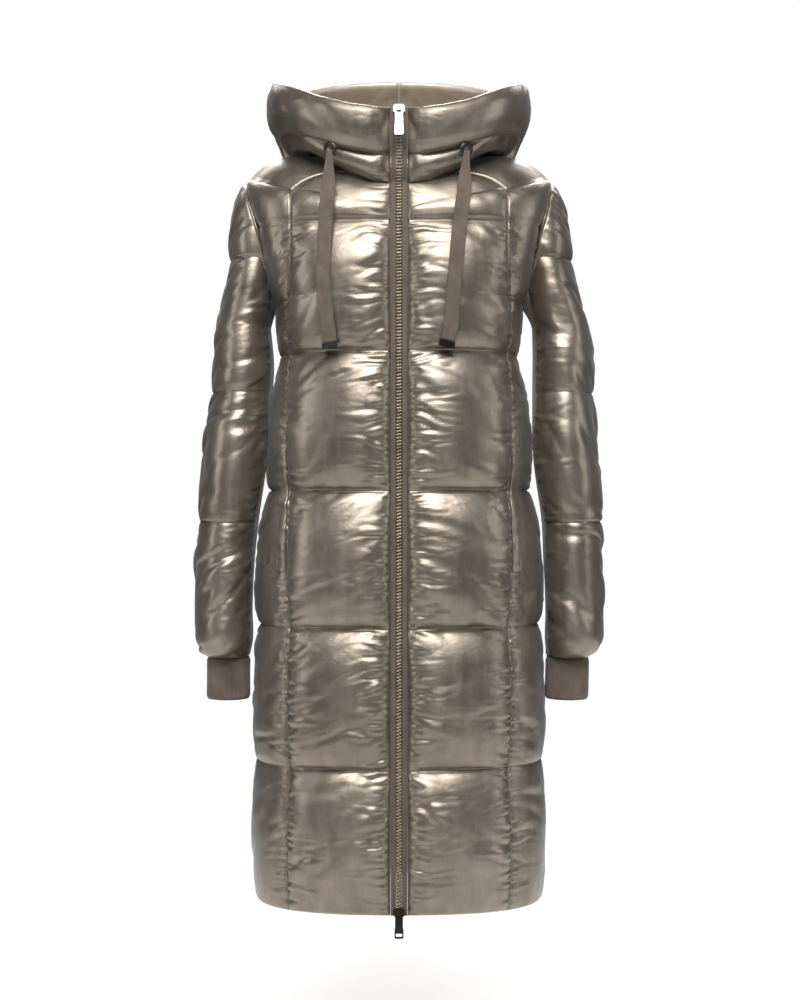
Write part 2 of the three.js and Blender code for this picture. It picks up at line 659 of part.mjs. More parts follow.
// How far the hood's padding stands out: two pads, one each side of the channel's line,
// thin where the hood turns over the shoulder
function hoodPad(turn, at) {
  const [bottom, top] = at < HOOD_LINE ? [0, HOOD_LINE] : [HOOD_LINE, 1];
  const t = (at - bottom) / (top - bottom);
  const flat = Math.sin(turn) ** 2;
  const depth = at < HOOD_LINE ? mix(9, 2, flat) : mix(HOOD_PAD, 7, flat * (1 - smooth(t)));
  const rise = (x) => Math.sqrt(1 - (1 - clamp(x, 0, 1)) ** 2);
  const lower = rise(t / 0.35);
  const upper = at < HOOD_LINE ? rise((1 - t) / 0.35) : mix(0.35, 1, rise((1 - t) / 0.2));
  return depth * lower * upper;
}

// The hood's columns start where the body's panels have theirs, so the neck seam lies close.
function neckTurns() {
  const points = [];
  const along = (back, from, to, cols) => {
    for (let c = 0; c <= cols; c += 1) points.push(bodyPoint(NECK_LEVEL, back, mix(from, to, c / cols)));
  };
  const seamFront = bodyReach(NECK_LEVEL, false, seamX(NECK_LEVEL, false));
  const seamBack = bodyReach(NECK_LEVEL, true, seamX(NECK_LEVEL, true));
  const zipEdge = bodyReach(NECK_LEVEL, false, ZIP_TAPE_HALF + SEAM_GAP);
  along(false, zipEdge, seamFront, FRONT_COLS);
  along(false, seamFront, bodyLength(NECK_LEVEL, false), SIDE_FRONT_COLS);
  along(true, bodyLength(NECK_LEVEL, true), seamBack, SIDE_BACK_COLS);
  along(true, seamBack, 0, BACK_COLS);
  const { sideR, frontR, backR } = HOOD_ROWS[0];
  const turns = points.map((p) =>
    Math.atan2(power(p.x / sideR, 1 / HOOD_FULLNESS.seam), -p.y / (p.y < 0 ? frontR : backR)),
  );
  return turns.filter((turn, i) => i === 0 || turn - turns[i - 1] > radians(0.4));
}

function makeHood() {
  const rows = [0, 0.05, 0.11, 0.2, 0.28, 0.32, 0.36, 0.45, 0.56, 0.68, 0.8, 0.9, 0.96, 1];
  const turns = neckTurns();
  const outer = [];
  const inner = [];
  for (const at of rows) {
    const [outerRow, innerRow] = [[], []];
    turns.forEach((turn, c) => {
      const point = hoodPoint(turn, at);
      const normal = hoodNormal(turn, at);
      const edge = c === 0 ? 0.15 : c === turns.length - 1 ? 0.25 : 1;
      const outside = point.clone().addScaledVector(normal, CLOTH_HALF + hoodPad(turn, at) * edge);
      const inside = point.clone().addScaledVector(normal, -CLOTH_HALF);
      const raise = mix(NECK_GAP.front, NECK_GAP.side, Math.sin(turn) ** 2) * (1 - clamp(at / 0.08, 0, 1));
      for (const p of [outside, inside]) {
        p.z += raise;
        if (c === 0) p.x = ZIP_TAPE_HALF + SEAM_GAP;
        if (c === turns.length - 1) p.x = SEAM_GAP / 2;
      }
      outerRow.push(outside);
      innerRow.push(inside);
    });
    outer.push(outerRow);
    inner.push(innerRow);
  }
  addPair("hood", outer, inner, "shell");
}

// The centre front, from the hem to the hood's edge: a point and its outward direction
function centreFront(share) {
  if (share <= ZIP_ON_BODY) {
    const level = (share / ZIP_ON_BODY) * NECK_LEVEL;
    return { point: bodyPoint(level, false, 0), normal: bodyNormal(level, false, 0) };
  }
  const at = (share - ZIP_ON_BODY) / (1 - ZIP_ON_BODY);
  return { point: hoodPoint(0, at), normal: hoodNormal(0, at) };
}

// A strip along the centre front, between two X and two heights above the cloth
function frontStrip(x0, x1, low, high, name, look) {
  const steps = 26;
  const outer = [];
  const inner = [];
  for (let i = 0; i <= steps; i += 1) {
    const { point, normal } = centreFront(i / steps);
    const at = (x, lift) => point.clone().addScaledVector(normal, lift).setX(x);
    outer.push([at(x0, high), at(x1, high)]);
    inner.push([at(x0, low), at(x1, low)]);
  }
  addPiece(name, wall(outer, inner), look);
}

function makeZip() {
  const inside = ZIP_CHAIN_HALF + SEAM_GAP;
  const [tape, chain] = [ZIP_OFF + ZIP_TAPE_THICK, ZIP_OFF + ZIP_CHAIN_THICK];
  frontStrip(inside, ZIP_TAPE_HALF, ZIP_OFF, tape, "zip_tape_left", "tape");
  frontStrip(-ZIP_TAPE_HALF, -inside, ZIP_OFF, tape, "zip_tape_right", "tape");
  frontStrip(-ZIP_CHAIN_HALF, ZIP_CHAIN_HALF, ZIP_OFF, chain, "zip_teeth", "teeth");
}

// The first place where a straight line meets any of some pieces
const seeker = new THREE.Raycaster();
function firstTouch(names, from, direction) {
  seeker.set(from, direction.clone().normalize());
  const hits = seeker.intersectObjects(coat.children.filter((piece) => names.includes(piece.name)));
  return hits.length > 0 ? hits[0] : null;
}

// A shape drawn in X and Z, given a thickness along Y and laid flat around its own middle
function plate(shape, thick) {
  const made = new THREE.ExtrudeGeometry(shape, { depth: thick, bevelEnabled: false });
  return made.translate(0, 0, -thick / 2).rotateX(Math.PI / 2);
}

// The outline of a rectangle with cut corners
function cutRectangle(x, z, wide, high, cut) {
  const [w, h] = [wide / 2, high / 2];
  const corners = [
    [w - cut, -h],
    [w, -h + cut],
    [w, h - cut],
    [w - cut, h],
    [-w + cut, h],
    [-w, h - cut],
    [-w, -h + cut],
    [-w + cut, -h],
  ];
  return corners.map(([dx, dz]) => new THREE.Vector2(x + dx, z + dz));
}

const solidOf = (geometry) => {
  const plain = geometry.clone();
  plain.deleteAttribute("normal");
  plain.deleteAttribute("uv");
  const merged = mergeVertices(plain, 1e-4);
  const vertProperties = Float32Array.from(merged.getAttribute("position").array);
  const triVerts = Uint32Array.from(merged.getIndex().array);
  return new wasm.Manifold(new wasm.Mesh({ numProp: 3, vertProperties, triVerts }));
};

function geometryOf(solid) {
  const mesh = solid.getMesh();
  const made = new THREE.BufferGeometry();
  made.setAttribute("position", new THREE.BufferAttribute(Float32Array.from(mesh.vertProperties), 3));
  made.setIndex(Array.from(mesh.triVerts));
  return made;
}

// A slider's body with the bridge that its pull hangs from. The bridge stands along the zip.
function sliderGeometry() {
  const { wide, high, thick, bridgeWide, bridgeHigh, bridgeOut, bridgeWall } = SLIDER;
  const body = plate(new THREE.Shape(cutRectangle(0, 0, wide, high, 2.5)), thick);
  body.translate(0, -thick / 2, 0);
  const side = new THREE.Shape([
    new THREE.Vector2(-thick / 2, bridgeHigh / 2),
    new THREE.Vector2(-thick, bridgeHigh / 2),
    new THREE.Vector2(-bridgeOut, bridgeHigh / 2 - 1.2),
    new THREE.Vector2(-bridgeOut, -bridgeHigh / 2 + 1.2),
    new THREE.Vector2(-thick, -bridgeHigh / 2),
    new THREE.Vector2(-thick / 2, -bridgeHigh / 2),
  ]);
  const inside = bridgeHigh / 2 - bridgeWall;
  side.holes.push(
    new THREE.Path([
      new THREE.Vector2(-thick, inside),
      new THREE.Vector2(-bridgeOut + bridgeWall, inside - 0.3),
      new THREE.Vector2(-bridgeOut + bridgeWall, -inside + 0.3),
      new THREE.Vector2(-thick, -inside),
    ]),
  );
  // The side view lies in Y and Z, and the bridge's width runs along X.
  const bridge = new THREE.ExtrudeGeometry(side, { depth: bridgeWide, bevelEnabled: false });
  bridge.translate(0, 0, -bridgeWide / 2);
  bridge.applyMatrix4(new THREE.Matrix4().set(0, 0, 1, 0, 1, 0, 0, 0, 0, 1, 0, 0, 0, 0, 0, 1));
  return geometryOf(solidOf(body).add(solidOf(bridge)));
}

// A flat pull. Its hinge is the bar at its top, which passes under the slider's bridge.
function pullGeometry(long, wide, window) {
  const { thick, bar, eyeWide, eyeHigh } = PULL;
  const top = bar / 2;
  const waist = wide * 0.88;
  const shape = new THREE.Shape([
    new THREE.Vector2(waist / 2 - 1, top),
    new THREE.Vector2(waist / 2, top - 1),
    new THREE.Vector2(waist / 2, top - long * 0.55),
    new THREE.Vector2(wide / 2, top - long * 0.66),
    new THREE.Vector2(wide / 2, top - long + 1.5),
    new THREE.Vector2(wide / 2 - 1.5, top - long),
    new THREE.Vector2(-wide / 2 + 1.5, top - long),
    new THREE.Vector2(-wide / 2, top - long + 1.5),
    new THREE.Vector2(-wide / 2, top - long * 0.66),
    new THREE.Vector2(-waist / 2, top - long * 0.55),
    new THREE.Vector2(-waist / 2, top - 1),
    new THREE.Vector2(-waist / 2 + 1, top),
  ]);
  shape.holes.push(new THREE.Path(cutRectangle(0, -bar / 2 - eyeHigh / 2, eyeWide, eyeHigh, 0.8)));
  if (window) shape.holes.push(new THREE.Path(cutRectangle(0, top - long + 4.6, wide - 3.4, 4.2, 0.8)));
  return plate(shape, thick);
}

// One slider with its pull, at a share of the way up the centre front
function addSlider(name, share, look, pullLong, pullWide, window) {
  const { point, normal } = centreFront(share);
  const place = point.clone().addScaledVector(normal, ZIP_OFF + ZIP_CHAIN_THICK + SLIDER_GAP).setX(0);
  const slider = addPiece(`${name}_slider`, sliderGeometry(), look);
  slider.position.copy(place);
  slider.rotation.x = Math.atan2(-normal.z, -normal.y);
  const hinge = new THREE.Vector3(0, -SLIDER.thick - SLIDER.play - PULL.thick / 2, PULL.hang);
  hinge.applyEuler(slider.rotation).add(place);
  const pull = addPiece(`${name}_pull`, pullGeometry(pullLong, pullWide, window), look);
  pull.position.copy(hinge);
  pull.rotation.x = slider.rotation.x;
}

// How far out along a plate's direction its back can come to rest on the cloth. The spots are
// places on the plate, in its own plane.
function seatHeight(names, middle, turned, spots) {
  const normal = new THREE.Vector3(0, 0, 1).applyQuaternion(turned);
  const far = 80;
  let reach = Infinity;
  for (const [u, v] of spots) {
    const from = new THREE.Vector3(u, v, far).applyQuaternion(turned).add(middle);
    const hit = firstTouch(names, from, normal.clone().negate());
    if (hit) reach = Math.min(reach, hit.distance);
  }
  return far - reach + SEAM_GAP;
}

// An eyelet: a flat ring that lies just in front of the hood's channel
function addEyelet(name, x) {
  let [low, high] = [0, Math.PI / 2];
  for (let i = 0; i < 30; i += 1) {
    const middle = (low + high) / 2;
    if (hoodPoint(middle, EYELET.at).x < Math.abs(x)) low = middle;
    else high = middle;
  }
  const normal = hoodNormal(low, EYELET.at);
  const middle = hoodPoint(low, EYELET.at);
  if (x < 0) {
    normal.x *= -1;
    middle.x *= -1;
  }
  const turned = new THREE.Quaternion().setFromUnitVectors(new THREE.Vector3(0, 0, 1), normal);
  const spots = [];
  for (let i = 0; i < 48; i += 1) {
    const turn = (i / 24) * 2 * Math.PI;
    const radius = EYELET.outer * (i < 24 ? 1 : 0.6);
    spots.push([radius * Math.cos(turn), radius * Math.sin(turn)]);
  }
  const half = EYELET.thick / 2;
  const profile = [
    new THREE.Vector2(EYELET.hole, -half),
    new THREE.Vector2(EYELET.outer - 0.6, -half),
    new THREE.Vector2(EYELET.outer, -half + 0.6),
    new THREE.Vector2(EYELET.outer - 1.4, half),
    new THREE.Vector2(EYELET.hole + 0.8, half),
    new THREE.Vector2(EYELET.hole, half - 0.8),
    new THREE.Vector2(EYELET.hole, -half),
  ];
  const eyelet = addPiece(name, new THREE.LatheGeometry(profile, 18).rotateX(Math.PI / 2), "dark");
  eyelet.quaternion.copy(turned);
  const seat = seatHeight(["hood_left", "hood_right"], middle, turned, spots) + half;
  eyelet.position.copy(middle).addScaledVector(normal, seat);
}

// A flat tape with eight sides along a middle line, pinched narrow at its start
function addTape(name, route) {
  const outer = [];
  const inner = [];
  const { wide, thick } = CORD_TAPE;
  route.forEach((p, i) => {
    const [before, after] = [route[Math.max(i - 1, 0)], route[Math.min(i + 1, route.length - 1)]];
    const along = after.clone().sub(before).normalize();
    const across = new THREE.Vector3(1, 0, 0).addScaledVector(along, -along.x).normalize();
    const out = new THREE.Vector3().crossVectors(across, along).normalize();
    if (out.y > 0) out.negate();
    const half = (wide / 2) * mix(TAPE_PINCH, 1, smooth(clamp(i / 3, 0, 1)));
    const at = (side, lift) => p.clone().addScaledVector(across, side).addScaledVector(out, lift);
    const [edge, full] = [thick / 4, thick / 2];
    outer.push([at(-half, edge), at(-half + 0.6, full), at(half - 0.6, full), at(half, edge)]);
    inner.push([at(-half, -edge), at(-half + 0.6, -full), at(half - 0.6, -full), at(half, -edge)]);
  });
  addPiece(name, wall(outer, inner), "tape");
}

// The metal tip that closes a tape's end, 0.3 mm below it and in line with it
function addTip(name, route, look) {
  const last = route[route.length - 1];
  const along = last.clone().sub(route[route.length - 2]).normalize();
  const { wide, high, thick } = TAPE_TIP;
  const tip = addPiece(name, plate(new THREE.Shape(cutRectangle(0, 0, wide, high, 0.8)), thick), look);
  tip.quaternion.setFromUnitVectors(new THREE.Vector3(0, 0, -1), along);
  tip.position.copy(last).addScaledVector(along, high / 2 + SEAM_GAP + 0.2);
}

function makeCords() {
  for (const side of ["left", "right"]) {
    const left = side === "left";
    const route = (left ? TAPE_LEFT : TAPE_RIGHT).map((p) => new THREE.Vector3(p.x, p.y, p.z));
    addEyelet(`eyelet_${side}`, left ? EYELET.leftX : EYELET.rightX);
    addTape(`hood_tape_${side}`, route);
    addTip(`tape_tip_${side}`, route, left ? "black" : "silver");
  }
}

// The body's level at a height, down the front
function levelAt(z) {
  let [low, high] = [0, NECK_LEVEL];
  for (let i = 0; i < 30; i += 1) {
    const middle = (low + high) / 2;
    if (fromTable(BODY_ROWS, "level", middle, "z") < z) low = middle;
    else high = middle;
  }
  return low;
}

// A strip that lies on a side panel, from the panel's own points moved out
function addWelt(side) {
  const turned = (v) => (side === "left" ? v : v.clone().setX(-v.x));
  const steps = 14;
  const outer = [];
  const inner = [];
  for (let i = 0; i <= steps; i += 1) {
    const level = levelAt(mix(WELT.bottomZ, WELT.topZ, i / steps));
    const start = bodyReach(level, false, seamX(level, false)) + WELT.from;
    const normal = bodyNormal(level, false, start + WELT.wide / 2);
    const far = 60;
    let seat = 0;
    for (const across of [0, 0.25, 0.5, 0.75, 1]) {
      for (const up of [-0.035, 0, 0.035]) {
        const near = bodyPoint(level + up, false, start + WELT.wide * across);
        const from = turned(near.addScaledVector(normal, far));
        const hit = firstTouch([`side_front_${side}`], from, turned(normal).negate());
        if (hit) seat = Math.max(seat, far - hit.distance + SEAM_GAP);
      }
    }
    const at = (across, lift) =>
      turned(bodyPoint(level, false, start + WELT.wide * across).addScaledVector(normal, seat + lift));
    const [edge, full] = [WELT.thick * 0.5, WELT.thick];
    outer.push([at(0, edge), at(0.2, full), at(0.8, full), at(1, edge)]);
    inner.push([at(0, 0), at(0.2, 0), at(0.8, 0), at(1, 0)]);
  }
  addPiece(`pocket_welt_${side}`, wall(outer, inner), "shell");
}

// The pocket's puller: a folded tape that hangs out of the foot of the right-hand welt
function makePuller() {
  const { topZ, bottomZ, x, wide, thick } = PULLER;
  const z = (topZ + bottomZ) / 2;
  const hit = firstTouch(["side_front_right"], new THREE.Vector3(x, -400, z), new THREE.Vector3(0, 1, 0));
  const out = hit.face.normal.clone();
  const up = new THREE.Vector3(0, 0, 1).addScaledVector(out, -out.z).normalize();
  const across = new THREE.Vector3().crossVectors(up, out);
  const turned = new THREE.Quaternion().setFromRotationMatrix(
    new THREE.Matrix4().makeBasis(across, up, out),
  );
  const [w, h] = [wide / 2, (topZ - bottomZ) / 2];
  const spots = [];
  for (const u of [-1, 0, 1]) {
    for (const v of [-1, -0.5, 0, 0.5, 1]) spots.push([u * w, v * h]);
  }
  const seat = seatHeight(["side_front_right"], hit.point, turned, spots);
  const outline = new THREE.Shape(cutRectangle(0, 0, wide, 2 * h, 2));
  const made = new THREE.ExtrudeGeometry(outline, { depth: thick, bevelEnabled: false });
  const puller = addPiece("pocket_puller", made, "black");
  puller.quaternion.copy(turned);
  puller.position.copy(hit.point).addScaledVector(out, seat);
}

makeBody();
makeSleeves();
makeCuffs();
makeHood();
makeZip();
coat.updateMatrixWorld(true);
makeCords();
addWelt("left");
addWelt("right");
makePuller();
addSlider("top", SLIDERS.top, "silver", PULL.topLong, PULL.topWide, false);
addSlider("bottom", SLIDERS.bottom, "black", PULL.bottomLong, PULL.bottomWide, true);

export default coat;
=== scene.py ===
import math

import bpy
import numpy as np
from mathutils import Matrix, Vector
from mathutils.bvhtree import BVHTree


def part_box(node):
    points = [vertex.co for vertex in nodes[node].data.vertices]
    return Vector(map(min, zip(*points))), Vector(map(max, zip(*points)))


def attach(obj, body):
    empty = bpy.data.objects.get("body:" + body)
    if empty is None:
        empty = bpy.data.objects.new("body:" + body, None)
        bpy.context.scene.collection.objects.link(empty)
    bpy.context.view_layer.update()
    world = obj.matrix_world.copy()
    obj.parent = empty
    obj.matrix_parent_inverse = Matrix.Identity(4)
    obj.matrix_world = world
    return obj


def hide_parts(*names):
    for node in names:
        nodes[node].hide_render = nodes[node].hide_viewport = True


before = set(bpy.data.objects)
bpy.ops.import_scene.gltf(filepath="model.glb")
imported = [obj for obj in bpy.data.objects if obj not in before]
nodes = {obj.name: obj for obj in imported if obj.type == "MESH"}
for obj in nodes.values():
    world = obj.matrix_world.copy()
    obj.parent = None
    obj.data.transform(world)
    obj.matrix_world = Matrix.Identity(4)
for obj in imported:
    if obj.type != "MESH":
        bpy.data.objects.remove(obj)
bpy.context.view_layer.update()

MM = 0.001
HEM_Z = -1040
SEAM_GAP = 0.3
CLOTH_HALF = 1.5
BODY_PAD = 24
SIDE_PAD = 9
SLEEVE_PAD = 9
INNER_SLEEVE_PAD = 3
HOOD_PAD = 14
FRONT_SEAM_X = 145
BACK_SEAM_X = 118
ZIP_TAPE_HALF = 11
ZIP_CHAIN_HALF = 3.6
ZIP_ON_BODY = 0.907  # the zip's share below the neck seam
ZIP_OFF = 1.6
ZIP_TAPE_THICK = 1.4
ZIP_BED_THICK = 1.0
ARMPIT_LEVEL = 4.42
SHOULDER_LEVEL = 5.45
NECK_LEVEL = 6

def table(columns, *rows):
    """The rows of a table, each a dictionary of its columns."""
    return [dict(zip(columns.split(), row)) for row in rows]


# The body's rows. Level 0 is the hem, 1 to 5 are the quilting lines and 6 is the neck seam.
BODY_ROWS = table(
    "level z frontY backY backZ fullness",
    (0, HEM_Z, -146, 146, HEM_Z, 0.8),
    (1, -848, -146, 144, -848, 0.8),
    (2, -661, -144, 140, -661, 0.8),
    (3, -477, -141, 130, -477, 0.8),
    (4, -291, -138, 124, -291, 0.82),
    (5, -117, -130, 122, -117, 0.84),
    (5.45, -94, -125, 110, -60, 0.88),
    (6, -66, -118, 88, -6, 0.96),
)
SIDE_SEAM = table(
    "level x z",
    (0, 195, HEM_Z),
    (1, 195, -848),
    (2, 190, -661),
    (2.7, 182, -532),
    (3, 176, -477),
    (3.4, 170, -400),
    (4, 162, -291),
    (4.42, 163, -216),
)
ARMHOLE = {"x": 184, "z": -134, "lean": 21, "height": 82, "depth": 66}
NECK_POINT = {"x": 104, "z": -14}
NECK_SEAMS = {"frontX": 66, "backX": 58}
SLEEVE_ROWS = table(
    "z x y wide deep leftOut",
    (-250, 213.5, -6, 33, 62, 7),
    (-300, 214, -8, 38, 66, 12),
    (-350, 218, -9, 39.5, 67, 9),
    (-427, 224.5, -11, 40, 66, 4),
    (-523, 236, -13, 38.5, 64, 3),
    (-580, 239, -14, 36, 61, 0),
    (-640, 240, -15, 34.5, 58, 0),
    (-694, 240, -16, 33.5, 54, -1),
    (-706, 237, -16, 28, 37, -3.5),
)
SLEEVE_START = {"atArmpit": 7.4, "atShoulder": 4.2}
SLEEVE_CURVE = {"start": 0.12, "endIn": 0.1, "endUp": 0.42}
SLEEVE_RING_Z = -250
SLEEVE_LINES = [-158, -342, -520, -706]
SLEEVE_SEAMS = {"front": 156, "back": -128, "frontStart": 136, "backStart": -116}
ROW_DROP = 2.4
CUFF = {
    "topZ": -707.9, "bottomZ": -765, "x": 237, "leftOut": -3.5, "y": -16, "wide": 28, "deep": 37,
}
HOOD_ROWS = table(
    "at frontR frontZ sideR sideZ backR backZ dip",
    (0.0, 118, -66, 104, -14, 88, -6, 2),
    (0.08, 123, -58, 120, -5, 96, 6, 2.6),
    (0.2, 129, -46, 151, -3, 138, -4, 3.4),
    (0.32, 131, -30, 163, 12, 164, -46, 3.8),
    (0.44, 137, -18, 168, 22, 172, -92, 3.4),
    (0.56, 142, -5, 170, 32, 196, -112, 3),
    (0.68, 145, 6, 171, 44, 220, -66, 2.4),
    (0.8, 145.5, 15, 171, 58, 214, 10, 2),
    (0.92, 145, 23, 168, 73, 180, 86, 2),
    (1.0, 144, 29, 163, 86, 140, 123, 2),
)
HOOD_LINE = 0.32
HOOD_FULLNESS = {"seam": 0.96, "bag": 0.84}
CORD_TAPE = {"wide": 19.5, "thick": 1.6}
TAPE_PINCH = 0.42
TAPE_LEFT = [
    (90.6, -133.1, -25), (89.2, -134.2, -38), (88, -135.4, -54), (87.2, -138, -70),
    (86.2, -142, -84), (84, -145.2, -98), (81.6, -147.2, -114), (79.8, -150, -132),
    (78, -153, -152), (76, -155.2, -172), (74, -156.4, -192), (72, -157, -212),
    (70.5, -157, -232), (69.6, -156, -252), (67.4, -154.6, -266), (64.5, -153.2, -279),
]
TAPE_RIGHT = [
    (-92.7, -132.1, -24.2), (-93, -133.2, -38), (-93.6, -134.4, -54), (-94.4, -137, -70),
    (-95, -141, -84), (-96, -143.4, -98), (-97, -144.6, -114), (-98, -146.4, -132),
    (-99, -148.8, -152), (-99.8, -150.6, -172), (-100, -151.2, -192), (-99.6, -151.2, -212),
    (-98, -151.2, -232), (-95.5, -150, -252), (-93.5, -148.6, -266), (-92, -147, -281),
]
WELL_OUT, WELL_IN_FRONT = 60, -400  # where the rays that find the settled cloth start
WELT = {"topZ": -421, "bottomZ": -588, "from": 3, "wide": 15, "thick": 2}
PULLER = {"topZ": -553, "bottomZ": -577, "x": -177, "wide": 7.5, "thick": 2.2}

ROW_STEP = 2.5  # between two rows of a panel's points
ROW_POINTS = 160  # of one level of the body
ZIP_STITCH_X = 9.4
TEETH_X = 1.45
RIGHT = np.array([1.0, 0, 0])
MIRROR = np.array([-1, 1, 1])
SIDES = (("left", 1), ("right", -1))
NECK_GAP = {"front": 0.5, "side": 1.4}
FLOOR_Z = -1.34
PHOTO_WIDTH, MM_PER_PIXEL, CAMERA_AWAY = 800, 1.4, 2700
SENSOR = 36


# --- camera
def put(name, data):
    """A new object in the scene."""
    made = bpy.data.objects.new(name, data)
    bpy.context.scene.collection.objects.link(made)
    return made


def make_camera():
    camera = bpy.data.cameras.new("camera")
    camera.sensor_fit = "HORIZONTAL"
    camera.sensor_width = SENSOR
    camera.lens = CAMERA_AWAY / MM_PER_PIXEL / PHOTO_WIDTH * SENSOR
    camera.shift_x = 0.00125
    camera.clip_end = 30
    holder = put("camera", camera)
    holder.location = (0, -CAMERA_AWAY * MM, -0.49)
    holder.rotation_euler = (math.radians(90), 0, 0)
    bpy.context.scene.camera = holder


make_camera()


# --- small sums
def mix(a, b, t):
    return a + (b - a) * t


def smooth(t):
    t = np.clip(t, 0, 1)
    return t * t * (3 - 2 * t)


def unit(vectors):
    return vectors / np.maximum(np.linalg.norm(vectors, axis=-1, keepdims=True), 1e-9)


def lengths(points):
    """How far along a line each of its points is."""
    return np.r_[0, np.cumsum(np.linalg.norm(np.diff(points, axis=0), axis=1))]


def power(base, exponent):
    return np.maximum(base, 0) ** exponent


def quarter_round(t):
    """Rises from 0 to 1 like the side of a circle."""
    t = np.clip(t, 0, 1)
    return np.sqrt(1 - (1 - t) ** 2)


def from_table(rows, key, at, column):
    """The value of a column at a place in a table, on a smooth curve through its rows."""
    keys = np.array([row[key] for row in rows], float)
    values = np.array([row[column] for row in rows], float)
    if keys[-1] < keys[0]:
        keys, values = keys[::-1], values[::-1]
    slope = np.diff(values) / np.diff(keys)
    tangent = np.empty(len(keys))
    tangent[0], tangent[-1] = slope[0], slope[-1]
    tangent[1:-1] = np.where(slope[:-1] * slope[1:] > 0, (slope[:-1] + slope[1:]) / 2, 0)
    at = np.asarray(at, float)
    i = np.clip(np.searchsorted(keys, at) - 1, 0, len(keys) - 2)
    run = keys[i + 1] - keys[i]
    t = np.clip((at - keys[i]) / run, 0, 1)
    t2, t3 = t * t, t * t * t
    return (
        (2 * t3 - 3 * t2 + 1) * values[i]
        + (t3 - 2 * t2 + t) * run * tangent[i]
        + (3 * t2 - 2 * t3) * values[i + 1]
        + (t3 - t2) * run * tangent[i + 1]
    )


def wavy(seed, count=5):
    """A gentle unevenness: a function of a length in millimetres that stays between -1 and 1."""
    chance = np.random.default_rng(seed)
    waves = [(chance.uniform(0.6, 1.7), chance.uniform(0, 2 * math.pi)) for _ in range(count)]

    def value(length, wave):
        total = sum(np.sin(2 * math.pi * length / (wave * size) + turn) for size, turn in waves)
        return total / count * 1.4

    return value


# --- the coat's own surface

def armhole_point(turn):
    """A point of the armhole, by its angle from the shoulder's tip, positive to the front."""
    return np.array([
        ARMHOLE["x"] + ARMHOLE["lean"] * math.cos(turn),
        -ARMHOLE["depth"] * math.sin(turn),
        ARMHOLE["z"] + ARMHOLE["height"] * math.cos(turn),
    ])


def body_edge(level, back):
    """Where the body's surface ends: the side seam, the armhole or the shoulder seam."""
    if level <= ARMPIT_LEVEL:
        x = from_table(SIDE_SEAM, "level", level, "x")
        return np.array([x, 0, from_table(SIDE_SEAM, "level", level, "z")])
    if level <= SHOULDER_LEVEL:
        turn = math.pi * (1 - (level - ARMPIT_LEVEL) / (SHOULDER_LEVEL - ARMPIT_LEVEL))
        return armhole_point(-turn if back else turn)
    tip = armhole_point(0)
    along = (level - SHOULDER_LEVEL) / (NECK_LEVEL - SHOULDER_LEVEL)
    x = mix(tip[0], NECK_POINT["x"], along)
    return np.array([x, 0, mix(NECK_POINT["z"], tip[2], max(1 - along, 0) ** 4)])


row_store = {}


def body_row(level, back):
    """One level of the body from the centre to its edge, with each point's distance along it."""
    key = (round(level, 5), back)
    if key not in row_store:
        edge = body_edge(level, back)
        value = lambda column: float(from_table(BODY_ROWS, "level", level, column))
        turn = np.linspace(0, math.pi / 2, ROW_POINTS + 1)
        fullness = value("fullness")
        points = np.stack([
            edge[0] * power(np.sin(turn), fullness),
            mix(edge[1], value("backY" if back else "frontY"), power(np.cos(turn), fullness)),
            mix(value("backZ" if back else "z"), edge[2], np.sin(turn) ** 2),
        ], axis=1)
        row_store[key] = (points, lengths(points))
    return row_store[key]


def body_reach(level, back, x):
    points, along = body_row(level, back)
    return float(np.interp(x, points[:, 0], along))


def body_length(level, back):
    return float(body_row(level, back)[1][-1])


def body_points(level, back, reaches):
    points, along = body_row(level, back)
    return np.stack([np.interp(reaches, along, points[:, k]) for k in range(3)], axis=-1)


def seam_x(level, back):
    straight = BACK_SEAM_X if back else FRONT_SEAM_X
    in_neck = NECK_SEAMS["backX"] if back else NECK_SEAMS["frontX"]
    bend = min(max((level - SHOULDER_LEVEL) / (NECK_LEVEL - SHOULDER_LEVEL), 0), 1)
    return mix(straight, in_neck, bend)


def outward(points, sign=1):
    """The outward direction at each point of a grid whose rows go up and columns go across."""
    across = np.gradient(points, axis=1)
    up = np.gradient(points, axis=0)
    return unit(np.cross(across, up) * sign)


def distances(points, axis):
    """How far each point of a grid is along its row or column, in millimetres."""
    steps = np.linalg.norm(np.diff(points, axis=axis), axis=2)
    pad = [(0, 0), (0, 0)]
    pad[axis] = (1, 0)
    return np.pad(np.cumsum(steps, axis=axis), pad)


# --- pads
PAD_SHOULDER = 0.32  # the share of a pad's width that its rounded side takes
PAD_SETTLED = 0.86  # below 1, the down lies low in its pad
ARM_LEVEL = -290  # the body makes room for the arms, and they for it, below this height


def pad_across(t, start_share, end_share):
    start = mix(start_share, 1, quarter_round(t / PAD_SHOULDER))
    end = mix(end_share, 1, quarter_round((1 - t) / PAD_SHOULDER))
    return start * end


def pad_up(t):
    settled = power(t, PAD_SETTLED)
    return power(4 * settled * (1 - settled), 0.5)


def body_pad(depth, level):
    return depth * mix(1, 0.45, smooth((level - 4.8) / 1.2))


def half_gap(level):
    return SEAM_GAP / 2 + 0.3 * float(smooth((level - 4) / 0.25))


def body_z(level):
    return float(from_table(BODY_ROWS, "level", level, "z"))


def fine_levels():
    """The body's levels, close enough together to carry the cloth's folds."""
    levels = []
    for line in range(NECK_LEVEL):
        extra = 1.5 if line == NECK_LEVEL - 1 else 1
        steps = math.ceil((body_z(line + 1) - body_z(line)) / ROW_STEP * extra)
        levels += [line + i / steps for i in range(steps)]
    return np.array(levels + [float(NECK_LEVEL)])


LEVELS = fine_levels()


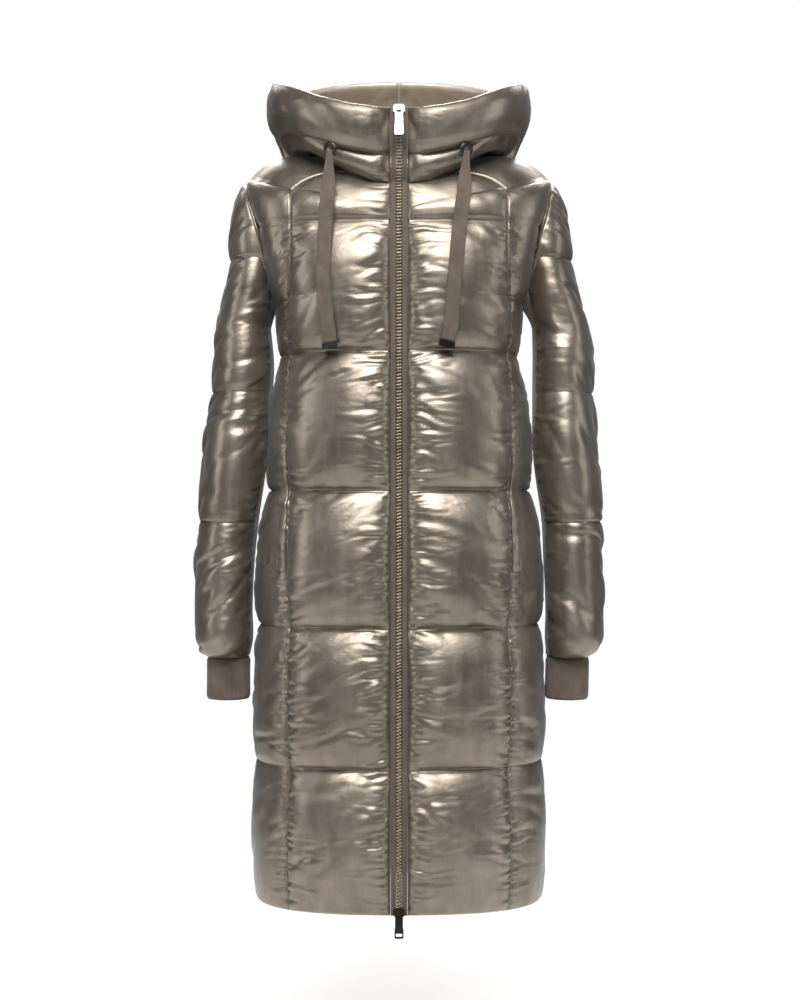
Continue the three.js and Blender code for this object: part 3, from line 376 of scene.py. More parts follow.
def body_panel(back, start, end, columns, depth, shares, full=0):
    """A quilted body panel: its middle surface, its outward directions and its pads' height."""
    points, share, height = [], [], []
    t = np.linspace(0, 1, columns + 1)
    for level in LEVELS:
        points.append(body_points(level, back, mix(start(level), end(level), t)))
        share.append(pad_up(level - min(math.floor(level), NECK_LEVEL - 1)))
        height.append(body_pad(depth, level))
    points = np.array(points)
    normal = outward(points, -1 if back else 1)
    normal[-1, :, 2] = 0
    normal[-1] /= np.linalg.norm(normal[-1], axis=1, keepdims=True)
    chest = mix(1, 0.72, smooth((LEVELS - 4.6) / 0.4))
    chest *= mix(1, 0.75, smooth((LEVELS - 5) / 0.1))
    lift = np.outer(np.array(share) * np.array(height) * chest, pad_across(t, *shares))
    if full:
        z = points[..., 2]
        beside = smooth((ARM_LEVEL - z) / 60) * smooth((z + 720) / 30)
        lift *= 1 + full * beside * smooth((t - 0.35) / 0.5)
        at_arm = smooth((LEVELS - 4.5) / 0.1) * smooth((SHOULDER_LEVEL + 0.2 - LEVELS) / 0.2)
        lift += np.outer(2.5 * at_arm * np.array(share), smooth((t - 0.7) / 0.25))
    calm = 1 - 0.7 * smooth((LEVELS - 4.9) / 0.15)[:, None]
    return {"points": points, "normal": normal, "lift": lift, "calm": calm}


def body_panels():
    zip_edge = ZIP_TAPE_HALF + SEAM_GAP
    front = body_panel(
        False,
        lambda v: body_reach(v, False, zip_edge),
        lambda v: body_reach(v, False, seam_x(v, False)) - half_gap(v),
        34, BODY_PAD, (0.12, 0.25),
    )
    panels = {"front": front}
    for back in (False, True):
        at_arm = lambda v: ARMPIT_LEVEL - 0.05 < v < SHOULDER_LEVEL + 0.05
        inset = lambda v: half_gap(v) + (0.6 if at_arm(v) else 0)
        panels["side_back" if back else "side_front"] = body_panel(
            back,
            lambda v: body_reach(v, back, seam_x(v, back)) + half_gap(v),
            lambda v: body_length(v, back) - inset(v),
            40 if back else 32, SIDE_PAD, (0.5, 0.7), full=0.65,
        )
    panels["back"] = body_panel(
        True, lambda v: 0, lambda v: body_reach(v, True, seam_x(v, True)) - half_gap(v),
        30, BODY_PAD, (1, 0.3),
    )
    return panels


# --- sleeves
def sleeve_ring(left, angle, z):
    value = lambda column: from_table(SLEEVE_ROWS, "z", z, column)
    return np.stack([
        value("x") + (value("leftOut") if left else 0) + value("wide") * np.cos(angle),
        value("y") - value("deep") * np.sin(angle),
        z + 0 * angle,
    ], axis=-1)


def sleeve_points(left, arm, ring, z):
    """Points of the sleeve at heights z, on lines from armhole angles down to tube angles."""
    low = sleeve_ring(left, ring, np.minimum(z, SLEEVE_RING_Z))
    top = (1 + np.cos(arm)) / 2
    start = np.stack([
        ARMHOLE["x"] + ARMHOLE["lean"] * np.cos(arm)
        + mix(SLEEVE_START["atArmpit"], SLEEVE_START["atShoulder"], top),
        -ARMHOLE["depth"] * np.sin(arm),
        ARMHOLE["z"] + ARMHOLE["height"] * np.cos(arm),
    ], axis=-1)
    end = sleeve_ring(left, ring, np.full_like(z, SLEEVE_RING_Z))
    out = np.stack([mix(0.25, 1, top), -0.4 * np.sin(arm), mix(-1, -0.6, top)], axis=-1)
    out /= np.linalg.norm(out, axis=-1, keepdims=True)
    long = np.linalg.norm(end - start, axis=-1, keepdims=True)
    first = start + out * long * SLEEVE_CURVE["start"]
    second = end + long * np.array([-SLEEVE_CURVE["endIn"], 0, SLEEVE_CURVE["endUp"]])

    def curve(t):
        t = t[..., None]
        a, b, c = (1 - t) ** 3, 3 * t * (1 - t) ** 2, 3 * t * t * (1 - t)
        return a * start + b * first + c * second + t**3 * end

    below, above = np.zeros_like(z), np.ones_like(z)
    for _ in range(26):
        middle = (below + above) / 2
        higher = curve(middle)[..., 2] > z
        below, above = np.where(higher, middle, below), np.where(higher, above, middle)
    return np.where((z > SLEEVE_RING_Z)[..., None], curve((below + above) / 2), low)


def sleeve_rows():
    """The sleeve's rows: index in the coarse list, wanted height, share and pad of each."""
    tops = [ARMHOLE["z"] + ARMHOLE["height"]] + SLEEVE_LINES[:-1]
    coarse = []
    for pad, (top, bottom) in enumerate(zip(tops, SLEEVE_LINES)):
        shares = [1, 0.9, 0.66, 0.34, 0.1] + ([0.035, 0] if pad == len(tops) - 1 else [])
        coarse += [(mix(bottom, top, share), share, pad) for share in shares]
    rows = []
    for i in range(len(coarse) - 1):
        (z0, s0, pad), (z1, s1, next_pad) = coarse[i], coarse[i + 1]
        s1 = 0 if next_pad != pad else s1
        steps = max(2, math.ceil((z0 - z1) / ROW_STEP))
        rows += [
            (i + k / steps, mix(z0, z1, k / steps), mix(s0, s1, k / steps), pad)
            for k in range(steps)
        ]
    rows.append((len(coarse) - 1, coarse[-1][0], 0, len(tops) - 1))
    return rows, tops


def sleeve_panel(left, start, end, columns, shares):
    rows, tops = sleeve_rows()
    t = np.linspace(0, 1, columns + 1)[None, :]
    arm = np.radians(mix(start["arm"], end["arm"], t)) + np.zeros((len(rows), 1))
    ring = np.radians(mix(start["ring"], end["ring"], t)) + np.zeros((len(rows), 1))
    index, wanted, share, pad = (np.array(column, float)[:, None] for column in zip(*rows))
    arm_z = ARMHOLE["z"] + ARMHOLE["height"] * np.cos(arm)
    limit = arm_z - ROW_DROP * index
    gap = np.clip((limit - wanted) / 6, -1, 1)
    blended = np.minimum(wanted, limit) - 1.5 * (1 - np.abs(gap)) ** 2
    z = np.where(gap >= 1, wanted, np.where(gap <= -1, limit, blended))
    z = np.minimum(z, arm_z - 1.6)
    points = sleeve_points(left, arm, ring, z)
    normal = outward(points[::-1])[::-1]
    normal[-1] = (0, 0, -1)
    top = np.array([tops[int(p)] for p in pad[:, 0]])[:, None]
    bottom = np.array([SLEEVE_LINES[int(p)] for p in pad[:, 0]])[:, None]
    room = smooth((np.minimum(top, arm_z) - bottom) / 110)
    inside = smooth((np.abs(math.pi - np.abs(ring)) - 0.5) / 0.9)
    up = np.where((pad == 0) & (share > 0.5), np.maximum(pad_up(share), 0.62), pad_up(share))
    beside = smooth((ARM_LEVEL - z) / 60)
    depth = mix(INNER_SLEEVE_PAD + (7 if left else 5) * beside, SLEEVE_PAD, inside)
    lift = depth * mix(room, 1, 0.5) * up * pad_across(t, *shares)
    return {"points": points[::-1], "normal": normal[::-1], "lift": lift[::-1]}


def sleeve_panels(left):
    gap = 0.25
    at = SLEEVE_SEAMS
    top = sleeve_panel(
        left,
        {"arm": at["frontStart"] - gap, "ring": at["front"] - gap},
        {"arm": at["backStart"] + gap, "ring": at["back"] + gap},
        64, (0.35, 0.45),
    )
    under = sleeve_panel(
        left,
        {"arm": at["frontStart"] + gap, "ring": at["front"] + gap},
        {"arm": at["backStart"] + 360 - gap, "ring": at["back"] + 360 - gap},
        22, (0.35, 0.45),
    )
    return {"sleeve_top": top, "sleeve_under": under}


# --- hood
def hood_points(turn, at):
    value = lambda column: from_table(HOOD_ROWS, "at", at, column)
    sin, cos = np.sin(turn), np.cos(turn)
    fullness = mix(HOOD_FULLNESS["seam"], HOOD_FULLNESS["bag"], smooth(at / 0.3))
    back = cos < 0
    away = power(np.abs(cos), fullness)
    radius = np.where(back, value("backR"), value("frontR"))
    middle = np.where(back, value("backZ"), value("frontZ"))
    dip = np.where(back, 2, value("dip"))
    return np.stack([
        value("sideR") * power(sin, fullness),
        np.where(back, 1, -1) * radius * away,
        mix(value("sideZ"), middle, power(np.abs(cos), dip)),
    ], axis=-1)


def hood_pad(turn, at):
    low = at < HOOD_LINE
    t = np.where(low, at / HOOD_LINE, (at - HOOD_LINE) / (1 - HOOD_LINE))
    flat = np.sin(turn) ** 2
    depth = np.where(low, mix(9, 2, flat), mix(HOOD_PAD, 7, flat * (1 - smooth(t))))
    upper = np.where(low, quarter_round((1 - t) / 0.35), mix(0.35, 1, quarter_round((1 - t) / 0.2)))
    return depth * quarter_round(t / 0.35) * upper


def hood_panel():
    first = math.atan2(((ZIP_TAPE_HALF + SEAM_GAP) / 104) ** (1 / 0.96), 1)
    turn = np.linspace(first, math.pi, 141)[None, :]
    at = np.r_[np.linspace(0, HOOD_LINE, 26), np.linspace(HOOD_LINE, 1, 58)[1:]][:, None]
    turn, at = turn + 0 * at, at + 0 * turn
    points = hood_points(turn, at)
    normal = outward(points)
    normal[0, :, 2] = 0
    normal[:, 0] = normal[:, 1] * (0, 1, 1)
    normal[:, -1] = normal[:, -2] * (0, 1, 1)
    normal /= np.linalg.norm(normal, axis=2, keepdims=True)
    neck_gap = mix(NECK_GAP["front"], NECK_GAP["side"], np.sin(turn) ** 2)
    points[..., 2] += neck_gap * (1 - np.clip(at / 0.08, 0, 1))
    points[:, 0, 0] = ZIP_TAPE_HALF + SEAM_GAP
    points[:, -1, 0] = SEAM_GAP / 2
    at_zip = mix(0.15, 1, quarter_round((turn - first) / 0.16))
    at_back = mix(0.25, 1, quarter_round((math.pi - turn) / 0.12))
    return {"points": points, "normal": normal, "lift": hood_pad(turn, at) * (at_zip * at_back)}


# --- meshes
def grid_faces(rows, columns, ring=False):
    r = np.arange(rows - 1)[:, None] * columns
    c = np.arange(columns if ring else columns - 1)[None, :]
    nxt = (c + 1) % columns
    return np.stack([r + c, r + nxt, r + columns + nxt, r + columns + c], axis=-1).reshape(-1, 4)


def make_mesh(name, points, faces, flip=False):
    mesh = bpy.data.meshes.new(name)
    faces = np.asarray(faces)
    if flip:
        faces = faces[:, ::-1]
    corners = [tuple(p) for p in np.asarray(points) * MM]
    mesh.from_pydata(corners, [], [tuple(int(i) for i in f) for f in faces])
    mesh.update()
    mesh.polygons.foreach_set("use_smooth", [True] * len(mesh.polygons))
    return put(name, mesh)


def signed_volume(points, faces):
    p = np.asarray(points)
    f = np.asarray(faces)
    a, b, c, d = (p[f[:, k]] for k in range(4))
    one = np.einsum("ij,ij->i", a, np.cross(b, c))
    two = np.einsum("ij,ij->i", a, np.cross(c, d))
    return (one + two).sum()


def wall(name, outer, inner, ring=False):
    """A closed piece of cloth between its outer and inner grids."""
    rows, columns = outer.shape[:2]
    count = rows * columns
    out = grid_faces(rows, columns, ring)
    back = grid_faces(rows, columns, ring)[:, ::-1] + count
    faces = [out, back]

    def rim(line):
        a, b = line[:-1], line[1:]
        return np.stack([a, a + count, b + count, b], axis=1)

    cells = np.arange(count).reshape(rows, columns)
    low, high = cells[0], cells[-1]
    if ring:
        low, high = np.r_[low, low[0]], np.r_[high, high[0]]
    faces += [rim(low), rim(high)[:, ::-1]]
    if not ring:
        faces += [rim(cells[:, 0])[:, ::-1], rim(cells[:, -1])]
    faces = np.concatenate(faces)
    points = np.concatenate([outer.reshape(-1, 3), inner.reshape(-1, 3)])
    return make_mesh(name, points, faces, flip=signed_volume(points, faces) < 0)


# --- folds and puckers
def patches(seed):
    """Soft random hills and hollows over a surface, between about -1 and 1."""
    turn = np.random.default_rng(seed).uniform(0, 2 * math.pi, (97, 97))

    def value(x, y):
        x, y = np.broadcast_arrays(np.asarray(x, float), np.asarray(y, float))
        ix, iy = np.floor(x).astype(int), np.floor(y).astype(int)
        fx, fy = x - ix, y - iy

        def corner(i, j):
            angle = turn[(ix + i) % 97, (iy + j) % 97]
            return np.cos(angle) * (fx - i) + np.sin(angle) * (fy - j)

        sx, sy = (f * f * f * (f * (f * 6 - 15) + 10) for f in (fx, fy))
        low = mix(corner(0, 0), corner(1, 0), sx)
        return 1.5 * mix(low, mix(corner(0, 1), corner(1, 1), sx), sy)

    return value


def creases(value, narrow=3.2):
    """Narrow valleys between rounded hills, as cloth over down makes them."""
    return 0.7 * value - (1 - smooth(np.abs(value) * narrow))


def gathers(away, along, seed, reach, depth, wave=11):
    """Puckers that run out of a seam. The lengths are in millimetres."""
    field = patches(seed)
    drift = 9 * field(along / 70, away / 60 + 11)
    value = field((along + drift) / wave, away / (reach * 1.7) + 31)
    own_reach = reach * (0.75 + 0.75 * field(along / 27 + 47, 5.3))
    fade = np.exp(-((away / np.maximum(own_reach, 4)) ** 1.4))
    return depth * creases(value) * fade


def wide_folds(away, along, seed, depth, long=130, short=44, slant=0.5):
    field = patches(seed)
    bend = 26 * field(along / 120, away / 110 + 23)
    across = (along + bend) + slant * away
    value = field(across / short, (away - slant * along) / long + 17)
    where = smooth(0.62 + field(along / 75 + 61, away / 85))
    return depth * creases(value, 2.2) * where


def held(away, start=3.5):
    """Nothing moves at a seam itself."""
    return smooth(away / start + 0.12)


def mirrored(panel):
    return {**panel, "points": panel["points"] * MIRROR, "normal": panel["normal"] * MIRROR}


def whole(panel):
    """Both halves of a panel that runs over the centre."""
    other = mirrored(panel)
    joined = {
        key: np.concatenate([other[key][:, ::-1][:, :-1], panel[key]], axis=1)
        for key in ("points", "normal", "lift")
    }
    return {**panel, **joined}


def folded(panel, seed, start, end, wide, slant=0.5, hem=None):
    """Adds a panel's own folds: start and end give the reach and depth of its seams' puckers."""
    points = panel["points"]
    from_start = distances(points, 1)
    from_end = from_start[:, -1:] - from_start
    along = distances(points, 0)
    up = from_start * 0 + panel["lift"].max(axis=1, keepdims=True)
    free = smooth(up / 5)
    folds = gathers(from_start, along, seed, *start) * held(from_start)
    folds += gathers(from_end, along, seed + 1, *end) * held(from_end)
    edge = np.minimum(from_start, from_end)
    folds += wide_folds(from_start, along, seed + 2, wide, slant=slant) * smooth(edge / 22)
    small = wide_folds(from_end, along, seed + 3, 1, 42, 15, -slant)
    folds += 0.1 * wide * small * smooth(edge / 8)
    folds *= free * panel.get("calm", 1)
    if hem:
        reach, depth = hem
        folds += gathers(along, from_start, seed + 4, reach, depth, 7) * smooth(along / 2.5)
    panel["rise"] = np.maximum(panel["lift"] + folds, np.minimum(panel["lift"], 0.4))
    return panel


def slack_inside(panel, seed, depth=2.4):
    """Soft folds of the inner cloth, from nothing at its edges."""
    away = distances(panel["points"], 1)
    along = distances(panel["points"], 0)
    field = patches(seed)
    folds = 0.5 + 0.5 * field((away + 8 * field(along / 60, 3.1)) / 17, along / 70)
    aside, beyond = away[:, -1:] - away, along[-1:] - along
    edge = np.minimum(np.minimum(away, aside), np.minimum(along, beyond))
    return depth * folds * smooth(edge / 12)


def skins(panel):
    outer = panel["points"] + panel["normal"] * (CLOTH_HALF + panel["rise"])[..., None]
    outer = outer + panel.get("shift", 0)
    slack = panel.get("slack", np.zeros(1))
    inner = panel["points"] - panel["normal"] * (CLOTH_HALF + slack)[..., None]
    return outer, inner


# --- the cloth settles over its down
CLOTH_FEEL = {
    "quality": 6, "mass": 0.15, "air_damping": 2, "tension_stiffness": 20,
    "compression_stiffness": 20, "shear_stiffness": 5, "bending_stiffness": 0.05,
    "use_pressure": True, "uniform_pressure_force": 3,
}
MOST_OUT, MOST_ASIDE = 9, 4  # how far the cloth may move
SEWN_DOWN = 0.35  # rows with less pad than this are held
JOBS = []  # each quilted piece's name, panel and spare cloth


def settle(frames=20):
    """Blows up every outer skin at once, held at its seams and lines, with cloth to spare."""
    scene = bpy.context.scene
    settling = []
    for name, panel, spare in JOBS:
        outer = skins(panel)[0]
        rows, columns = outer.shape[:2]
        r, c = rows // 2, columns // 2
        facing = np.cross(outer[r, c + 1] - outer[r, c], outer[r + 1, c] - outer[r, c])
        flip = float(facing @ panel["normal"][r, c]) < 0
        piece = make_mesh(name + "_settling", outer.reshape(-1, 3), grid_faces(rows, columns), flip)
        fixed = np.repeat(panel["lift"].max(axis=1)[:, None] < SEWN_DOWN, columns, axis=1)
        fixed[:, [0, -1]] = True
        fixed[[0, -1]] = True
        group = piece.vertex_groups.new(name="sewn")
        group.add(np.flatnonzero(fixed).tolist(), 1.0, "ADD")
        piece.shape_key_add(name="now")
        wide = piece.shape_key_add(name="spare")
        wide.data.foreach_set("co", (outer.reshape(-1, 3) * MM * np.array(spare)).ravel())
        cloth = piece.modifiers.new("cloth", "CLOTH")
        cloth.point_cache.frame_start, cloth.point_cache.frame_end = 1, frames
        for setting, value in CLOTH_FEEL.items():
            setattr(cloth.settings, setting, value)
        cloth.settings.vertex_group_mass = "sewn"
        cloth.settings.rest_shape_key = wide
        cloth.settings.effector_weights.gravity = 0
        settling.append((piece, panel, outer))
    for number in range(1, frames + 1):
        scene.frame_set(number)
    graph = bpy.context.evaluated_depsgraph_get()
    for piece, panel, outer in settling:
        place = np.empty(outer.size)
        piece.evaluated_get(graph).data.vertices.foreach_get("co", place)
        moved = place.reshape(outer.shape) / MM - outer
        out = (moved * panel["normal"]).sum(axis=2)
        sideways = moved - out[..., None] * panel["normal"]
        far = np.linalg.norm(sideways, axis=2, keepdims=True)
        sideways *= MOST_ASIDE * np.tanh(far / MOST_ASIDE) / np.maximum(far, 1e-6)
        out = MOST_OUT * np.tanh(out / MOST_OUT)
        out = np.maximum(out, 1 - 2 * CLOTH_HALF - panel["rise"])
        panel["shift"] = sideways + out[..., None] * panel["normal"]
        bpy.data.objects.remove(piece)
    scene.frame_set(1)


# --- materials
def add(tree, kind, inputs=(), **settings):
    made = tree.nodes.new(kind)
    for key, value in settings.items():
        setattr(made, key, value)
    for key, value in dict(inputs).items():
        if isinstance(value, bpy.types.NodeSocket):
            tree.links.new(value, made.inputs[key])
        else:
            made.inputs[key].default_value = value
    return made


def colour(red, green, blue):
    """A colour from its 8-bit values as seen."""
    shares = [v / 255 for v in (red, green, blue)]
    return (*(s / 12.92 if s <= 10 / 255 else ((s + 0.055) / 1.055) ** 2.4 for s in shares), 1)


def start_material(name):
    material = bpy.data.materials.new(name)
    material.use_nodes = True
    tree = material.node_tree
    return material, tree, add(tree, "ShaderNodeTexCoord").outputs["Object"]


def finish_material(material, base, rough, normal, **constants):
    """Links colour, roughness and surface; the constants stay on the shader's own sockets."""
    tree = material.node_tree
    shader = tree.nodes["Principled BSDF"]
    for name, socket in (("Base Color", base), ("Roughness", rough), ("Normal", normal)):
        tree.links.new(socket, shader.inputs[name])
    for name, value in constants.items():
        shader.inputs[name.replace("_", " ")].default_value = value
    return material


def sums(tree, operation, *values):
    return add(tree, "ShaderNodeMath", dict(enumerate(values)), operation=operation).outputs[0]


def noise(tree, place, scale, detail=3, rough=0.55, stretch=None):
    if stretch:
        place = add(tree, "ShaderNodeMapping", {"Vector": place, "Scale": stretch}).outputs[0]
    inputs = {"Vector": place, "Scale": scale, "Detail": detail, "Roughness": rough}
    return add(tree, "ShaderNodeTexNoise", inputs).outputs[0]


def waves(tree, place, direction, **inputs):
    given = {"Vector": place, **{name.replace("_", " "): value for name, value in inputs.items()}}
    made = add(tree, "ShaderNodeTexWave", given, wave_type="BANDS", bands_direction=direction)
    return made.outputs["Fac"]


def ramp(tree, value, low, high, start=0.3, end=0.7):
    made = add(tree, "ShaderNodeValToRGB", {"Fac": value})
    for stop, position, tone in zip(made.color_ramp.elements, (start, end), (low, high)):
        stop.position, stop.color = position, tone
    return made.outputs[0]


def spread(tree, value, low, high):
    inputs = {"Value": value, "To Min": low, "To Max": high}
    return add(tree, "ShaderNodeMapRange", inputs).outputs[0]


def bump(tree, height, distance, strength, under=None):
    inputs = {"Height": height, "Distance": distance, "Strength": strength}
    if under:
        inputs["Normal"] = under
    return add(tree, "ShaderNodeBump", inputs).outputs[0]


def satin_nylon(name, dark, light, shine, rough):
    """A thin, tightly woven satin with a soft metallic shine, fine wrinkles and a fine weave."""
    material, tree, place = start_material(name)
    cloudy = noise(tree, place, 9, 4, 0.6)
    streak = noise(tree, place, 55, 3, 0.6, (1, 1, 0.3))
    half = sums(tree, "MULTIPLY", sums(tree, "ADD", cloudy, streak), 0.5)
    weave = waves(tree, place, "DIAGONAL", Scale=420, Distortion=1.2, Detail=2, Detail_Scale=2)
    wrinkled = bump(tree, noise(tree, place, 48, 5, 0.62), 0.0025, 0.2)
    crinkled = bump(tree, noise(tree, place, 150, 3, 0.5, (1, 1, 1.8)), 0.0006, 0.3, wrinkled)
    return finish_material(
        material, ramp(tree, half, dark, light, 0.38, 0.62),
        spread(tree, streak, rough - 0.05, rough + 0.07),
        bump(tree, weave, 0.00006, 0.35, crinkled),
        Metallic=shine, Sheen_Weight=0.12, Sheen_Roughness=0.4,
    )


def rib_knit(name, dark, light):
    material, tree, place = start_material(name)
    fuzz = noise(tree, place, 900, 3, 0.6)
    loops = waves(tree, place, "Z", Scale=260, Distortion=3, Detail=2)
    return finish_material(
        material, ramp(tree, noise(tree, place, 40, 4), dark, light, 0.35, 0.65),
        spread(tree, fuzz, 0.78, 0.95),
        bump(tree, fuzz, 0.0003, 0.6, bump(tree, loops, 0.0004, 0.5)),
        Sheen_Weight=0.35,
    )


def woven_band(name, dark, light, rough=0.75):
    """A band woven in a herringbone: its UV runs in metres, across and along."""
    stripe, pitch = 0.0024, 0.0013
    material, tree, place = start_material(name)
    uv = add(tree, "ShaderNodeUVMap", uv_map="band").outputs[0]
    parts = add(tree, "ShaderNodeSeparateXYZ", {"Vector": uv}).outputs
    line = sums(tree, "ADD", sums(tree, "PINGPONG", parts["X"], stripe), parts["Y"])
    wave = sums(tree, "SINE", sums(tree, "MULTIPLY", line, 2 * math.pi / pitch))
    lifted = spread(tree, wave, 0.2, 1)
    lifted.node.inputs["From Min"].default_value = -1
    worn = noise(tree, place, 60, 4)
    woven = bump(tree, lifted, 0.00035, 0.6)
    return finish_material(
        material, ramp(tree, sums(tree, "MULTIPLY", lifted, worn), dark, light, 0.15, 0.6),
        spread(tree, worn, rough - 0.08, rough + 0.1),
        bump(tree, noise(tree, place, 1400, 2), 0.0002, 0.4, woven),
        Sheen_Weight=0.2,
    )


def thread(name, dark, light):
    material, tree, place = start_material(name)
    twist = noise(tree, place, 1200, 2, 0.5, (1, 1, 3))
    return finish_material(
        material, ramp(tree, twist, dark, light), spread(tree, twist, 0.5, 0.7),
        bump(tree, twist, 0.0002, 0.5),
    )


def metal(name, dark, light, rough, metallic=1.0):
    """Brushed or cast metal with fine marks and uneven polish."""
    material, tree, place = start_material(name)
    marks = noise(tree, place, 900, 3, 0.6, (1, 1, 0.08))
    return finish_material(
        material, ramp(tree, noise(tree, place, 120, 3), dark, light),
        spread(tree, marks, rough - 0.07, rough + 0.12), bump(tree, marks, 0.00012, 0.3),
        Metallic=metallic,
    )


def between(dark, light):
    return colour(*dark), colour(*light)


SHELL = satin_nylon("taupe_satin", *between((124, 114, 102), (145, 135, 123)), 0.86, 0.385)
INSIDE = satin_nylon("taupe_satin_inside", *between((178, 168, 155), (200, 190, 178)), 0.5, 0.42)
RIB = rib_knit("rib_knit", *between((72, 61, 52), (94, 82, 71)))
BAND = woven_band("herringbone_band", *between((62, 51, 41), (112, 97, 82)))
DARK_BAND = woven_band("dark_band", *between((26, 24, 23), (58, 54, 50)), 0.6)
ZIP_CLOTH = woven_band("zip_cloth", *between((68, 57, 47), (106, 92, 78)), 0.7)
THREAD = thread("sewing_thread", *between((80, 68, 56), (124, 108, 92)))
SILVER = metal("brushed_silver", *between((104, 102, 100), (140, 138, 135)), 0.36)
GUNMETAL = metal("gunmetal", *between((60, 58, 58), (104, 102, 102)), 0.32)
BRONZE = metal("bronze_teeth", *between((120, 106, 90), (172, 156, 136)), 0.4)
BLACK = metal("black_lacquer", *between((18, 17, 17), (38, 36, 35)), 0.3, 0.6)


# --- pieces
def dress(piece, *materials, body="coat", slot="shell"):
    piece.data.materials.clear()
    for material in materials:
        piece.data.materials.append(material)
    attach(piece, body)
    return piece


def curve_through(route, steps):
    """A smooth line through a list of points, evenly stepped."""
    points = np.array(route, float)
    padded = np.vstack([2 * points[0] - points[1], points, 2 * points[-1] - points[-2]])
    made = []
    for i in range(1, len(padded) - 2):
        a, b, c, d = padded[i - 1 : i + 3]
        for t in np.linspace(0, 1, 24, endpoint=False):
            made.append(0.5 * (2 * b + (c - a) * t + (2 * a - 5 * b + 4 * c - d) * t**2
                               + (3 * b - a - 3 * c + d) * t**3))
    made = np.array(made + [points[-1]])
    along = lengths(made)
    even = np.linspace(0, along[-1], steps)
    return np.stack([np.interp(even, along, made[:, k]) for k in range(3)], axis=1), along[-1]


def set_band_uv(piece, across, along):
    """A UV map in metres: across the band and along it, from a value of each for each point."""
    layer = piece.data.uv_layers.new(name="band")
    corner = np.empty(len(piece.data.loops), dtype=int)
    piece.data.loops.foreach_get("vertex_index", corner)
    layer.data.foreach_set("uv", np.stack([across[corner], along[corner]], axis=1).ravel())


def make_band(name, middle, across, out, half, thick, columns=10):
    """A flat band with rounded edges. The last row and the first are closed."""
    side = np.linspace(-1, 1, columns + 1)
    rounding = np.sqrt(np.maximum(1 - np.abs(side) ** 8, 0.06))
    half = np.broadcast_to(half, (len(middle),))
    base = middle[:, None] + across[:, None] * (half[:, None] * side)[..., None]
    lift = out[:, None] * (thick / 2 * rounding)[None, :, None]
    piece = wall(name, base + lift, base - lift)
    length = lengths(middle)
    u = np.tile((half[:, None] * side).ravel(), 2) * MM
    v = np.tile(np.repeat(length, columns + 1), 2) * MM
    set_band_uv(piece, u, v)
    return piece


# The hood's two flat cords, pinched where they pass through their eyelets
def make_hood_tapes():
    for side, route in (("left", TAPE_LEFT), ("right", TAPE_RIGHT)):
        middle, length = curve_through(route, 130)
        along = unit(np.gradient(middle, axis=0))
        across = unit(RIGHT - along * along[:, :1])
        out = unit(np.cross(across, along))
        out *= np.where(out[:, 1:2] > 0, -1, 1)
        wide = CORD_TAPE["wide"] / 2
        share = np.linspace(0, len(route) - 1, len(middle))
        half = wide * mix(TAPE_PINCH, 1, smooth(share / 3))
        piece = make_band(f"hood_tape_{side}_woven", middle, across, out, half, CORD_TAPE["thick"])
        dress(piece, BAND, slot="tape")
        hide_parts(f"hood_tape_{side}")


make_hood_tapes()


def split_skin(piece, outer_faces):
    """The first faces are the outer cloth; the rest show the inside's."""
    index = np.ones(len(piece.data.polygons), dtype=np.int32)
    index[:outer_faces] = 0
    piece.data.polygons.foreach_set("material_index", index)


PANELS = {}  # each quilted piece's outer points
OUTWARD = {}  # and their outward directions
LINES = {}  # and the rows that its quilting lines lie on


def quilted(name, panel):
    outer, inner = skins(panel)
    piece = wall(name + "_quilted", outer, inner)
    dress(piece, SHELL, INSIDE)
    split_skin(piece, (outer.shape[0] - 1) * (outer.shape[1] - 1))
    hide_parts(name)
    PANELS[name] = outer
    out = outward(outer)
    OUTWARD[name] = out * np.sign((out * panel["normal"]).sum(axis=2, keepdims=True))
    LINES[name] = [r for r in range(2, len(outer) - 2) if panel["lift"][r].max() < 0.05]


def build_body():
    panels = body_panels()
    for side, number in (("left", 10), ("right", 60)):
        turned = (lambda panel: {**panel}) if side == "left" else mirrored
        front = folded(turned(panels["front"]), number, (34, 4.6), (28, 4), 2.2, slant=0.6)
        JOBS.append((f"front_{side}", front, (1.03, 1.03, 1.1)))
        side_front = folded(turned(panels["side_front"]), number + 10, (22, 2.8), (20, 2), 2)
        JOBS.append((f"side_front_{side}", side_front, (1.04, 1.04, 1.09)))
        side_back = folded(turned(panels["side_back"]), number + 20, (24, 2.8), (20, 2), 2.2)
        JOBS.append((f"side_back_{side}", side_back, (1.04, 1.04, 1.09)))
    back = folded(whole(panels["back"]), 140, (24, 2.6), (24, 2.6), 3.4, slant=0.3)
    JOBS.append(("back", back, (1.03, 1.03, 1.11)))


def build_sleeves():
    for side, number in (("left", 200), ("right", 260)):
        panels = sleeve_panels(side == "left")
        for name, panel in panels.items():
            panel = panel if side == "left" else mirrored(panel)
            start, end = ((30, 3.4), (30, 3.2)) if name == "sleeve_top" else ((15, 1.6), (15, 1.6))
            wide = 3.4 if name == "sleeve_top" else 1.6
            number += 10
            panel = folded(panel, number, start, end, wide, slant=0.9, hem=(11, 1.3))
            JOBS.append((f"{name}_{side}", panel, (1.05, 1.05, 1.1)))


def build_hood():
    for side, number in (("left", 320), ("right", 350)):
        panel = hood_panel()
        panel = panel if side == "left" else mirrored(panel)
        panel["slack"] = slack_inside(panel, number + 9)
        hood = folded(panel, number, (18, 1.6), (16, 1.6), 2.4, slant=-0.6)
        JOBS.append((f"hood_{side}", hood, (1.04, 1.04, 1.06)))


build_body()
build_sleeves()
build_hood()
settle()
for job in JOBS:
    quilted(job[0], job[1])


